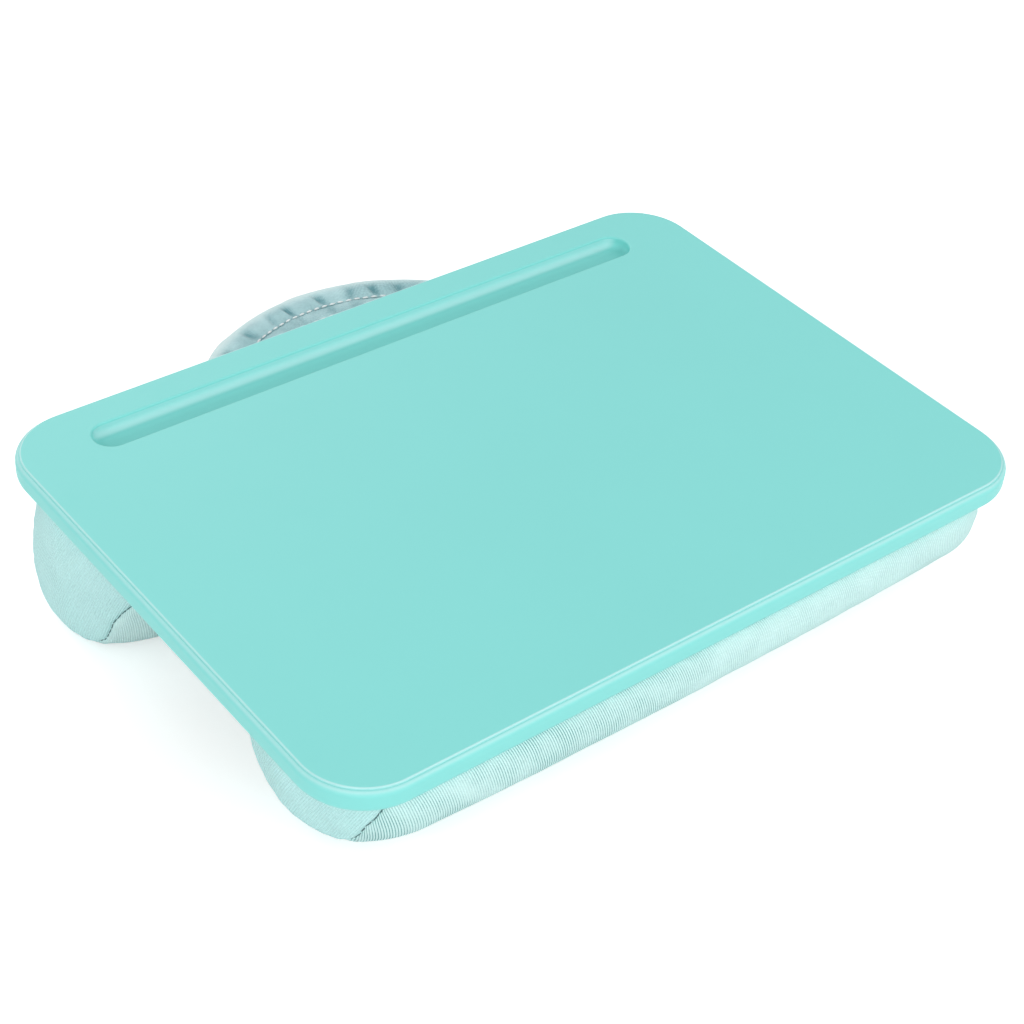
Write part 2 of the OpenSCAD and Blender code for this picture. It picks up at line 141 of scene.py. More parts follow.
class FrontBolsterSizes(bpy.types.PropertyGroup):
    """Sizes of the small bolster at the user's side."""

    __annotations__ = bolster_properties(
        -81.25, 49.75, 173, 9, 3.3, 0.13, 1.81, 33.5, 17.5, 8, 26, 0.3, 0.95)


class RearBolsterSizes(bpy.types.PropertyGroup):
    """Sizes of the large bolster at the back."""

    __annotations__ = bolster_properties(
        72.5, 49, 178, 5.5, 1.5, 0.32, 2.59, 31.5, 10.5, 12, 52, 0.3, 0.4)


class CushionSizes(bpy.types.PropertyGroup):
    """Sizes that both bolsters share."""

    top: length("Top", "Depth of the sewn edges below the desk's upper face", 12.3)
    tuck: length("Tuck", "How far the sewn edge is drawn in from the widest line", 7)
    swell: ratio("Swell", "Share of the depth at the widest line", 0.28)
    settle: length("Settle", "Depth to which the filling settles flat", 0.5)
    dome: length("Dome", "How far an end panel stands out past its rim", 3)
    cloth: length("Cloth", "Thickness of the cover's cloth", 1.4)
    lining: length("Lining", "Distance from the cover's face in to the pillow", 3.1)
    spacing: length("Spacing", "Spacing of the rings that make the cloth", 2)
    gather: ratio("Gather", "Share by which the cloth is longer than its form", 0.03)
    pucker: length("Pucker", "How far the cloth may leave its form in a pucker", 0.22)
    seam_dip: length("Seam Dip", "Depth of the valley along a seam", 0.7)


class HemSizes(bpy.types.PropertyGroup):
    """Sizes of the hem that is turned over the board's edge."""

    fold: length("Fold", "Width of the hem on the board", 15)
    cloth: length("Cloth", "Thickness of the folded cloth", 0.8)
    corner: length("Corner", "Outer radius of the hem's corners", 24.8)


class HandleSizes(bpy.types.PropertyGroup):
    """Sizes of the carrying handle."""

    radius: length("Radius", "Outer radius of the handle's arc", 100)
    reach: length("Reach", "Reach of the handle behind the desk's middle", 174.5)
    width: length("Width", "Width of the strap", 26)
    drop: length("Drop", "Depth of the strap's middle below the upper face", 20)
    roll: length("Roll", "Width of the padded roll along the outer edge", 15)
    quilt: length("Quilt", "Width of the flat quilted part next to the roll", 9)
    roll_rise: length("Roll Rise", "Half thickness of the roll", 3.6)
    quilt_rise: length("Quilt Rise", "Half thickness of the quilted part", 2.2)
    stitched: length("Stitched", "Half thickness under a row of stitches", 1.2)
    crease: length("Crease", "Depth of the creases across the roll", 2.4)
    core: length("Core", "Half thickness that the creases leave over the webbing", 1.05)
    pucker: length("Pucker", "How far the cloth may leave its form in a pucker", 0.5)
    gather: ratio("Gather", "Share by which the cloth is longer than its form", 0.05)


class StitchSizes(bpy.types.PropertyGroup):
    """Sizes of the sewing thread."""

    seam_length: length("Seam Stitch", "Length of a stitch in a seam", 5)
    seam_gap: length("Seam Gap", "Gap between the stitches of a seam", 0.2)
    seam_thread: length("Seam Thread", "Thickness of the thread in a seam", 0.55)
    top_length: length("Top Stitch", "Length of a stitch on the handle", 3.2)
    top_gap: length("Top Gap", "Gap between the stitches on the handle", 1.0)
    top_thread: length("Top Thread", "Thickness of the thread on the handle", 0.95)
    seed: IntProperty(name="Seed", description="Seed of the small turns of the stitches", default=7)


class DeskColours(bpy.types.PropertyGroup):
    """Colours of the finishes."""

    plastic: colour("Plastic", "Moulded top", (132, 219, 214))
    # Painted highlight: mixed into the top at its crest, its shoulder and the pen groove's far wall.
    plastic_highlight: colour("Plastic Highlight", "Painted highlight on the top's edges and the groove's far wall", (206, 236, 238))
    # Painted shade on the floor of the pen groove.
    plastic_painted_shade: colour("Plastic Painted Shade", "Painted shade on the floor of the pen groove", (84, 178, 172))
    cloth: colour("Cloth", "Ribbed cloth of the bolsters", (217, 253, 251))
    end_cloth: colour("End Cloth", "Ribbed cloth of the end panels", (203, 251, 250))
    groove: colour("Groove", "Shade between two ribs of the cloth", (104, 170, 170))
    handle_light: colour("Handle Light", "Light threads of the handle", (208, 243, 247))
    # Painted highlight on the outer edge of the handle's roll.
    handle_highlight: colour("Handle Highlight", "Painted highlight on the handle's outer edge", (232, 254, 254))
    handle_dark: colour("Handle Dark", "Dark threads of the handle", (98, 156, 165))
    seam: colour("Seam Thread", "Thread of the seams", (62, 106, 108))
    stitch: colour("Stitch", "Thread on the handle", (255, 255, 255))
    board: colour("Board", "Fibre board under the top", (150, 118, 84))
    steel: colour("Steel", "Screws and staples", (196, 198, 202))
    filling: colour("Filling", "Plain cloth of the inner pillows", (240, 240, 234))


class LapDesk(bpy.types.PropertyGroup):
    """All the sizes and colours of the lap desk."""

    colours: PointerProperty(type=DeskColours)
    top: PointerProperty(type=TopSizes)
    cushion: PointerProperty(type=CushionSizes)
    front: PointerProperty(type=FrontBolsterSizes)
    rear: PointerProperty(type=RearBolsterSizes)
    hem: PointerProperty(type=HemSizes)
    handle: PointerProperty(type=HandleSizes)
    stitches: PointerProperty(type=StitchSizes)


def settings():
    return bpy.context.scene.lap_desk


class Wire:
    """One output in a node tree, on which arithmetic adds Math nodes."""

    def __init__(self, graph, socket):
        self.graph = graph
        self.socket = socket

    def out(self, name):
        """Another output of the same node."""
        return Wire(self.graph, self.socket.node.outputs[name])

    def __add__(self, other):
        return self.graph.math("ADD", self, other)

    def __sub__(self, other):
        return self.graph.math("SUBTRACT", self, other)

    def __rsub__(self, other):
        return self.graph.math("SUBTRACT", other, self)

    def __mul__(self, other):
        return self.graph.math("MULTIPLY", self, other)

    __radd__ = __add__
    __rmul__ = __mul__


class Graph:
    """A node tree that is built from expressions on wires."""

    def __init__(self, tree):
        self.tree = tree

    def feed(self, socket, value):
        if isinstance(value, Wire):
            self.tree.links.new(value.socket, socket)
        else:
            socket.default_value = value

    def node(self, kind, inputs=None, output=0, **options):
        """Adds a node: its options first, then the values or wires of its inputs."""
        made = self.tree.nodes.new(kind)
        for key, value in options.items():
            setattr(made, key, value)
        for key, value in (inputs or {}).items():
            self.feed(made.inputs[key], value)
        return Wire(self, made.outputs[output])

    def math(self, operation, *values):
        return self.node("ShaderNodeMath", dict(enumerate(values)), operation=operation)

    def split(self, place):
        """The three coordinates of a place."""
        x = self.node("ShaderNodeSeparateXYZ", {0: place})
        return x, x.out("Y"), x.out("Z")

    def seen(self):
        """1 on the rays that show a surface to the camera, also in a mirror or through glass."""
        straight = self.node("ShaderNodeLightPath", output="Is Camera Ray")
        mirrored = self.math("MAXIMUM", straight, straight.out("Is Glossy Ray"))
        return self.math("MAXIMUM", mirrored, straight.out("Is Transmission Ray"))


class Finish(Graph):
    """A material that is built from expressions on wires."""

    def __init__(self, name):
        self.material = bpy.data.materials.new(name)
        self.material.use_nodes = True
        super().__init__(self.material.node_tree)
        self.tree.nodes.clear()
        self.shader = self.tree.nodes.new("ShaderNodeBsdfPrincipled")
        output = self.tree.nodes.new("ShaderNodeOutputMaterial")
        self.tree.links.new(self.shader.outputs[0], output.inputs["Surface"])

    def sine(self, value):
        return self.math("SINE", value)

    def mix(self, factor, low, high):
        """A colour between two colours."""
        low, high = (c if isinstance(c, Wire) else (*c, 1) for c in (low, high))
        return self.node("ShaderNodeMix", {0: factor, 6: low, 7: high}, output=2, data_type="RGBA")

    def shades(self, factor, colour_value, low, high):
        """One colour between two shares of itself."""
        low, high = (tuple(min(1.0, c * share) for c in colour_value) for share in (low, high))
        return self.mix(factor, low, high)

    def step(self, value, low, high):
        """Rises smoothly from 0 at low to 1 at high."""
        return self.node(
            "ShaderNodeMapRange", {"Value": value, "From Min": low, "From Max": high},
            interpolation_type="SMOOTHSTEP")

    def band(self, value, middle, half):
        """1 where the value is at the middle, falling to 0 at half to each side."""
        return self.step(self.math("ABSOLUTE", value - middle), half, 0)

    def inset(self, x, y, half_x, half_y, radius):
        """Distance inwards from the outline of a rounded rectangle."""
        across = self.math("ABSOLUTE", x) - (half_x - radius)
        along = self.math("ABSOLUTE", y) - (half_y - radius)
        out_x, out_y = (self.math("MAXIMUM", out, 0) for out in (across, along))
        corner = self.math("SQRT", out_x * out_x + out_y * out_y)
        inner = self.math("MINIMUM", self.math("MAXIMUM", across, along), 0)
        return radius - corner - inner

    def place(self):
        """Place on the object, in metres."""
        return self.node("ShaderNodeTexCoord", output="Object")

    def desk_place(self, place):
        """Place in the desk frame: along the desk, towards its back and up from its face."""
        along, y, z = self.split(place)
        y = y - DESK.translation.y
        z = z - DESK.translation.z
        back = math.cos(TILT) * y + math.sin(TILT) * z
        up = math.cos(TILT) * z - math.sin(TILT) * y
        return along, back, up

    def cloth_place(self):
        """Place on the cloth, in metres, then its parts across the ribs and along them."""
        uv = self.node("ShaderNodeUVMap", uv_map="Cloth")
        return uv, *self.split(uv)[:2]

    def mark(self, name):
        """A value that the mesh carries for its finish."""
        return self.node("ShaderNodeAttribute", output=2, attribute_name=name)

    def noise(self, place, scale, detail=2, roughness=0.5):
        return self.node(
            "ShaderNodeTexNoise",
            {"Vector": place, "Scale": scale, "Detail": detail, "Roughness": roughness})

    def bump(self, height, distance):
        return self.node("ShaderNodeBump", {"Height": height, "Distance": distance})

    def surface(self, **values):
        """Sets the shader's inputs, with underscores for the spaces in their names."""
        for key, value in values.items():
            name = key.replace("_", " ").title().replace("Ior", "IOR")
            if not isinstance(value, Wire) and name.endswith("Color"):
                value = (*value, 1)
            self.feed(self.shader.inputs[name], value)
        return self.material


def shared_finish(name, maker, *values):
    """A material that several pieces share, made the first time it is asked for."""
    return bpy.data.materials.get(name) or maker(name, *values)


def moulded_plastic(name, colours, sizes):
    """Satin moulding with a fine grain, faint clouds, a glossier crest and a matt pen groove; painted
    highlights along its crest, its shoulder and the groove's far wall, and painted shade on the groove's
    floor.
    """
    finish = Finish(name)
    place = finish.place()
    grain = finish.noise(place, 1500, 3)
    clouds = finish.noise(place, 11, 3)
    rubbed = finish.step(finish.noise(place, 34, 5, 0.65), 0.56, 0.74)
    across, back, up = finish.desk_place(place)
    inset = finish.inset(across, back, sizes.length / 2, sizes.depth / 2, sizes.corner)
    # The crest and the shoulder are bands along the edge that take a painted highlight; the crest is also
    # less rough.
    crest = finish.band(inset, sizes.crest, 0.6 * MM) * finish.step(up, -2.2 * MM, -1.6 * MM)
    shoulder = finish.band(inset, sizes.shoulder, 1.0 * MM) * finish.step(up, -4.5 * MM, -2.5 * MM)
    behind = back - sizes.groove
    in_groove = finish.step(up, -0.7 * MM, -1.5 * MM) * finish.step(inset, 8 * MM, 10 * MM)
    # The deep near half of the groove's floor, which takes painted shade.
    floor = in_groove * finish.step(up, -3.6 * MM, -5.2 * MM) * finish.step(behind, 4.5 * MM, 0.5 * MM)
    # A band on the groove's far wall that takes a painted highlight.
    far_wall_highlight = in_groove * finish.band(behind, 7.6 * MM, 3 * MM)
    base = finish.shades(clouds, colours.plastic, 0.975, 1.015)
    # Painted shade on the groove's floor.
    base = finish.mix(0.22 * floor, base, colours.plastic_painted_shade)
    # Painted highlights on the crest, the shoulder and the groove's far wall.
    base = finish.mix(0.6 * crest + 0.4 * shoulder + 0.45 * far_wall_highlight, base, colours.plastic_highlight)
    return finish.surface(
        base_color=base,
        roughness=0.44 + 0.07 * clouds + 0.05 * rubbed - 0.18 * crest + 0.15 * in_groove,
        normal=finish.bump(grain, 0.02 * MM),
        coat_weight=0.12 - 0.12 * in_groove,
        coat_roughness=0.35,
        specular_ior_level=0.35)


def ribbed_cloth(name, light, dark, contrast, speckle):
    """Cloth with fine ribs: light cords, a shaded line between them and threads across."""
    rib_pitch, thread_pitch = 1.1 * MM, 0.55 * MM
    finish = Finish(name)
    uv, across, along = finish.cloth_place()
    wander = finish.noise(uv, 90) - 0.5
    fine = finish.noise(uv, 1000)
    turn = (across + 0.3 * MM * wander) * (math.tau / rib_pitch)
    rib = finish.sine(turn)
    threads = finish.sine(along * (math.tau / thread_pitch) + 0.5 * turn)
    wear_and_highlight = finish.step(finish.noise(uv, 75, 3), 0.35, 0.68)
    rubbed = finish.step(finish.noise(uv, 13), 0.42, 0.6)
    # Strength of the painted shade between the ribs: stronger in random patches of wear, and weaker towards
    # the right.
    crisp = (0.2 + 0.55 * wear_and_highlight + 0.45 * rubbed) * (1 - 0.7 * finish.step(across, -0.12, 0.15))
    groove = finish.step(rib * -1, 0.1, 0.9) * (contrast * crisp) * (0.55 + 0.9 * fine)
    shade = groove + 0.05 * (1 - threads) + speckle * (fine - 0.5)
    height = 0.75 * rib + 0.25 * threads + 0.5 * fine
    return finish.surface(
        base_color=finish.mix(shade, light, dark),
        roughness=0.86 + 0.08 * fine,
        normal=finish.bump(height, 0.16 * MM),
        sheen_weight=0.12,
        sheen_roughness=0.5)


def panel_cloth(name="ribbed_cloth", contrast=0.95):
    """The finish of the long panels, the valley and the hem."""
    colours = settings().colours
    return shared_finish(name, ribbed_cloth, colours.cloth, colours.groove, contrast, 0.2)


def handle_cloth(name, colours):
    """Heathered twill of the handle, with its threads on the diagonal, painted shade in its folds and a
    painted highlight on its outer edge.
    """
    finish = Finish(name)
    uv, across, along = finish.cloth_place()
    step = math.tau / (1.25 * MM)
    weave = finish.sine((across + along) * step) * finish.sine((across - along) * step)
    clouds = finish.noise(uv, 75, 3)
    fibre = finish.noise(uv, 1100)
    # Painted shade from the fold mark: darker in the creases and along the stitch rows.
    shade = 0.34 + 0.42 * weave + 1.2 * (clouds - 0.5) + 0.6 * (fibre - 0.5) + 0.8 * finish.mark("fold")
    base = finish.mix(shade, colours.handle_light, colours.handle_dark)
    return finish.surface(
        # A painted highlight on the roll's outer edge, from the mark of that edge.
        base_color=finish.mix(0.85 * finish.mark("wear_and_highlight"), base, colours.handle_highlight),
        roughness=0.88 + 0.06 * fibre,
        normal=finish.bump(0.7 * weave + 0.5 * fibre, 0.14 * MM),
        sheen_weight=0.3,
        sheen_roughness=0.5)


def plain_cloth(name, colour_value):
    """Plain weave: two sets of threads that cross at right angles."""
    finish = Finish(name)
    uv, across, along = finish.cloth_place()
    step = math.tau / (0.6 * MM)
    weave = finish.sine(across * step) * finish.sine(along * step)
    fibre = finish.noise(uv, 1200)
    shade = 0.2 * (1 - weave) + 0.4 * finish.noise(uv, 40, 3)
    return finish.surface(
        base_color=finish.shades(shade, colour_value, 1, 0.72),
        roughness=0.9 - 0.05 * fibre,
        normal=finish.bump(weave + 0.5 * fibre, 0.1 * MM),
        sheen_weight=0.2)


def webbing(name, colour_value):
    """Woven webbing, read off in the object's own coordinates."""
    finish = Finish(name)
    weave = finish.node(
        "ShaderNodeTexWave", {"Vector": finish.place(), "Scale": 260, "Distortion": 1.0},
        wave_type="BANDS", bands_direction="DIAGONAL")
    return finish.surface(
        base_color=finish.shades(weave, colour_value, 0.75, 1),
        roughness=0.8 + 0.1 * weave,
        normal=finish.bump(weave, 0.2 * MM))


def thread(name, colour_value):
    """Twisted sewing thread."""
    finish = Finish(name)
    twist = finish.noise(finish.place(), 2600)
    return finish.surface(
        base_color=finish.shades(twist, colour_value, 0.88, 1.1),
        roughness=0.55 + 0.2 * twist,
        normal=finish.bump(twist, 0.03 * MM))


def fibre_board(name, colour_value):
    """Pressed fibre board with short loose fibres in its face."""
    finish = Finish(name)
    place = finish.place()
    fibres = finish.noise(place, 420, 4, 0.7)
    clouds = finish.noise(place, 30, 3)
    flecks = finish.step(finish.noise(place, 900, 1), 0.6, 0.72)
    base = finish.shades(0.5 * fibres + 0.5 * clouds, colour_value, 0.7, 1.2)
    return finish.surface(
        base_color=finish.mix(0.4 * flecks, base, [c * 0.45 for c in colour_value]),
        roughness=0.72 + 0.15 * fibres,
        normal=finish.bump(fibres, 0.08 * MM))


def plated_steel(name, colour_value):
    """Zinc plated steel with fine scratches."""
    finish = Finish(name)
    place = finish.place()
    scratches = finish.noise(place, 1800, 4, 0.7)
    clouds = finish.noise(place, 220)
    return finish.surface(
        base_color=finish.shades(clouds, colour_value, 0.85, 1.08),
        metallic=1.0,
        roughness=0.28 + 0.22 * scratches,
        normal=finish.bump(scratches, 0.01 * MM))


def paint(node, material):
    """Gives a CAD node one material, on its object's own slots."""
    target = frame["nodes"][node]
    if not target.material_slots:
        target.data.materials.append(material)
    for place in target.material_slots:
        place.link = "OBJECT"
        place.material = material


def dress(piece, material):
    """Gives a piece its one material."""
    piece.data.materials.clear()
    piece.data.materials.append(material)


def stand_for(piece, node, material):
    """Lets a piece of the cushion stand for its CAD node on the desk."""
    dress(piece, material)
    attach(piece, ROOT)
    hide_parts(node)


def thicken(piece, thickness, offset=-1):
    """Gives a cloth face its thickness: inwards, or outwards with an offset of 1."""
    wall = piece.modifiers.new("Cloth thickness", "SOLIDIFY")
    wall.thickness = thickness
    wall.offset = offset


def add_object(name, data):
    made = bpy.data.objects.new(name, data)
    bpy.context.scene.collection.objects.link(made)
    return made


def grid_mesh(name, grid, uv=None, closed=True, tips=(False, False)):
    """A mesh over a grid of rings. A first or last tip joins a ring whose points lie together."""
    rows, columns = grid.shape[:2]
    joined = np.arange(rows * columns)
    if tips[0]:
        joined[:columns] = 0
    if tips[1]:
        joined[-columns:] = (rows - 1) * columns
    used, number = np.unique(joined, return_inverse=True)
    polygons, places = [], []
    for i in range(rows - 1):
        for j in range(columns if closed else columns - 1):
            corners = [(i, j), (i, j + 1), (i + 1, j + 1), (i + 1, j)]
            ids = [int(number[row * columns + column % columns]) for row, column in corners]
            kept = [k for k in range(4) if ids[k] != ids[k - 1]]
            polygons.append([ids[k] for k in kept])
            places.extend(corners[k] for k in kept)
    mesh = bpy.data.meshes.new(name)
    mesh.from_pydata(grid.reshape(-1, 3)[used].tolist(), [], polygons)
    mesh.polygons.foreach_set("use_smooth", [True] * len(polygons))
    if uv is not None:
        layer = mesh.uv_layers.new(name="Cloth")
        layer.data.foreach_set("uv", np.array([uv[place] for place in places], np.float32).ravel())
    mesh.validate()
    return add_object(name, mesh)


def rework(piece, change):
    """Changes a piece's mesh, then turns its faces outwards."""
    work = bmesh.new()
    work.from_mesh(piece.data)
    change(work)
    bmesh.ops.recalc_face_normals(work, faces=work.faces)
    work.to_mesh(piece.data)
    work.free()


def travelled(points):
    """How far along its path each point lies, on one path or on all those of a grid."""
    steps = np.linalg.norm(np.diff(points, axis=0), axis=-1)
    return np.concatenate([np.zeros_like(steps[:1]), np.cumsum(steps, axis=0)])


def even(points, count):
    """A path resampled to a number of points, evenly spaced by length."""
    travel = travelled(points)
    places = np.linspace(0, travel[-1], count)
    return np.stack([np.interp(places, travel, column) for column in points.T], axis=1)


def eased(share):
    """A share from 0 to 1 that starts and ends gently."""
    return share * share * (3 - 2 * share)


def with_first(rings):
    """Rings with their first point once more at their end."""
    return np.concatenate([rings, rings[:, :1]], axis=1)


def flat_places(along, around):
    """Places on a flat cloth, from one coordinate for its rings and one for their points."""
    return np.stack(np.meshgrid(along, around, indexing="ij"), axis=2)


def normals(grid):
    """Unit normals of closed rings, outwards where they run round to the left."""
    across = np.roll(grid, -1, axis=1) - np.roll(grid, 1, axis=1)
    normal = np.cross(across, np.gradient(grid, axis=0))
    return normal / np.maximum(np.linalg.norm(normal, axis=2, keepdims=True), 1e-12)


def smoothed(field, rounds):
    """A field on closed rings with its short waves taken out."""
    for _ in range(rounds):
        padded = np.pad(field, ((1, 1), (0, 0), (0, 0)), mode="edge")
        along = (padded[:-2] + padded[2:]) / 2
        across = (np.roll(field, 1, axis=1) + np.roll(field, -1, axis=1)) / 2
        field = 0.5 * field + 0.25 * along + 0.25 * across
    return field


def evened(field, rounds):
    """A field on a grid, smoothed from ring to ring alone."""
    field = field.copy()
    for _ in range(rounds):
        field[1:-1] = 0.5 * field[1:-1] + 0.25 * (field[:-2] + field[2:])
    return field


def waves(shape, seed, count, longest, shortest):
    """A smooth random field on a grid, made of sine waves. Its values are about -1 to 1.
    longest and shortest are wave lengths along and around the grid, as shares of its size."""
    pick = np.random.default_rng(seed)
    u = np.linspace(0, 1, shape[0])[:, None]
    v = np.linspace(0, 1, shape[1], endpoint=False)[None, :]
    total = np.zeros(shape)
    for _ in range(count):
        across = pick.uniform(1 / longest[0], 1 / shortest[0])
        around = pick.integers(round(1 / longest[1]), round(1 / shortest[1]) + 1)
        total += np.sin(math.tau * (across * u + around * v * pick.choice([-1, 1])) + pick.uniform(0, 6.3))
    return total / math.sqrt(count)


def read_off(field, rows, places):
    """A field on a grid whose rows lie at even places, read off at a place for each point."""
    return np.stack([
        np.stack([np.interp(places[:, j], rows, field[:, j, k]) for k in range(3)], axis=1)
        for j in range(field.shape[1])], axis=1)


def widened(field, columns):
    """A field on closed rings, spread over more points in each ring."""
    rings = with_first(field)
    reads = np.linspace(0, field.shape[1], columns, endpoint=False)
    low = np.floor(reads).astype(int)
    share = (reads - low)[None, :, None]
    return rings[:, low] * (1 - share) + rings[:, low + 1] * share


def capped(field, most):
    """A field of moves, none longer than most."""
    size = np.linalg.norm(field, axis=2, keepdims=True)
    return field * np.minimum(1, most / np.maximum(size, 1e-9))


CLOTH = {
    "quality": 6, "mass": 0.2, "tension_stiffness": 12, "compression_stiffness": 12,
    "shear_stiffness": 6, "bending_stiffness": 0.25, "tension_damping": 12, "compression_damping": 12,
    "vertex_group_mass": "sewn", "pin_stiffness": 1.0, "use_pressure": True}
CLOTH_FRAMES = 20


def inflate(name, grid, held, growth, pressure):
    """Blows the cloth up over its form with a cloth simulation, and returns the new grid.
    held gives how firmly each point is sewn down, from 0 to 1."""
    pad = grid_mesh(name, grid, tips=(True, True))
    group = pad.vertex_groups.new(name="sewn")
    for index, weight in enumerate([held[0, 0], *held[1:-1].ravel(), held[-1, 0]]):
        group.add([index], float(weight), "REPLACE")
    cloth = pad.modifiers.new("Cloth", "CLOTH")
    for key, value in CLOTH.items():
        setattr(cloth.settings, key, value)
    cloth.settings.uniform_pressure_force = pressure
    cloth.settings.shrink_min = -growth
    cloth.settings.effector_weights.gravity = 0
    cloth.collision_settings.use_collision = False
    cloth.point_cache.frame_end = CLOTH_FRAMES
    scene = bpy.context.scene
    for step in range(1, CLOTH_FRAMES + 1):
        scene.frame_set(step)
    shown = pad.evaluated_get(bpy.context.evaluated_depsgraph_get())
    blown = np.zeros(len(pad.data.vertices) * 3)
    shown.data.vertices.foreach_get("co", blown)
    blown = blown.reshape(-1, 3)
    scene.frame_set(1)
    bpy.data.objects.remove(pad)
    moved = np.empty_like(grid)
    moved[0], moved[-1] = blown[0], blown[-1]
    moved[1:-1] = blown[1:-1].reshape(moved[1:-1].shape)
    return moved


def stitch_tree(name):
    """Geometry nodes that lay stitches along a path: short rounded lengths of thread."""
    tree = bpy.data.node_groups.new(name, "GeometryNodeTree")
    kinds = {
        "Geometry": "Geometry", "Stitch Length": "Float", "Gap": "Float", "Thread": "Float",
        "Turn": "Float", "Seed": "Int", "Material": "Material"}
    for given, kind in kinds.items():
        tree.interface.new_socket(given, in_out="INPUT", socket_type=f"NodeSocket{kind}")
    tree.interface.new_socket("Geometry", in_out="OUTPUT", socket_type="NodeSocketGeometry")
    graph = Graph(tree)
    path, stitch, gap, width, turn, seed, material = (
        graph.node("NodeGroupInput").out(given) for given in kinds)
    curve = graph.node("GeometryNodeMeshToCurve", {"Mesh": path})
    points = graph.node(
        "GeometryNodeCurveToPoints", {"Curve": curve, "Length": stitch + gap}, output="Points", mode="LENGTH")
    along = graph.node("FunctionNodeAlignRotationToVector", {"Vector": points.out("Tangent")}, axis="X")
    turns = graph.node(
        "FunctionNodeRandomValue", {0: turn * -1, 1: turn, "Seed": seed}, data_type="FLOAT_VECTOR")
    laid = graph.node("GeometryNodeInstanceOnPoints", {
        "Points": points,
        "Instance": graph.node("GeometryNodeMeshUVSphere", {"Segments": 8, "Rings": 6, "Radius": 0.5}),
        "Rotation": graph.node(
            "FunctionNodeRotateRotation", {"Rotation": along, "Rotate By": turns}, rotation_space="LOCAL"),
        "Scale": graph.node("ShaderNodeCombineXYZ", {"X": stitch, "Y": width, "Z": width})})
    for kind in ("RealizeInstances", "SetShadeSmooth", "SetMaterial"):
        laid = graph.node(f"GeometryNode{kind}", {"Geometry": laid})
    graph.feed(laid.socket.node.inputs["Material"], material)
    graph.feed(tree.nodes.new("NodeGroupOutput").inputs["Geometry"], laid)
    return tree


def stitches(name, paths, material, stitch, gap, thickness, turn):
    """Thread laid along paths of points, as one plain mesh."""
    group = "stitches_along_path"
    tree = bpy.data.node_groups.get(group) or stitch_tree(group)
    vertices, edges = [], []
    for path in paths:
        first = len(vertices)
        vertices.extend(path.tolist())
        edges.extend((first + i, first + i + 1) for i in range(len(path) - 1))
    mesh = bpy.data.meshes.new(name + "_path")
    mesh.from_pydata(vertices, edges, [])
    guide = add_object(name + "_path", mesh)
    modifier = guide.modifiers.new("Stitches", "NODES")
    modifier.node_group = tree
    values = {
        "Stitch Length": stitch, "Gap": gap, "Thread": thickness, "Turn": turn,
        "Seed": settings().stitches.seed, "Material": material}
    for item in tree.interface.items_tree:
        if item.in_out == "INPUT" and item.name in values:
            modifier[item.identifier] = values[item.name]
    shown = guide.evaluated_get(bpy.context.evaluated_depsgraph_get())
    laid = bpy.data.meshes.new_from_object(shown)
    laid.name = name
    bpy.data.objects.remove(guide)
    if not laid.materials:
        laid.materials.append(material)
    return add_object(name, laid)


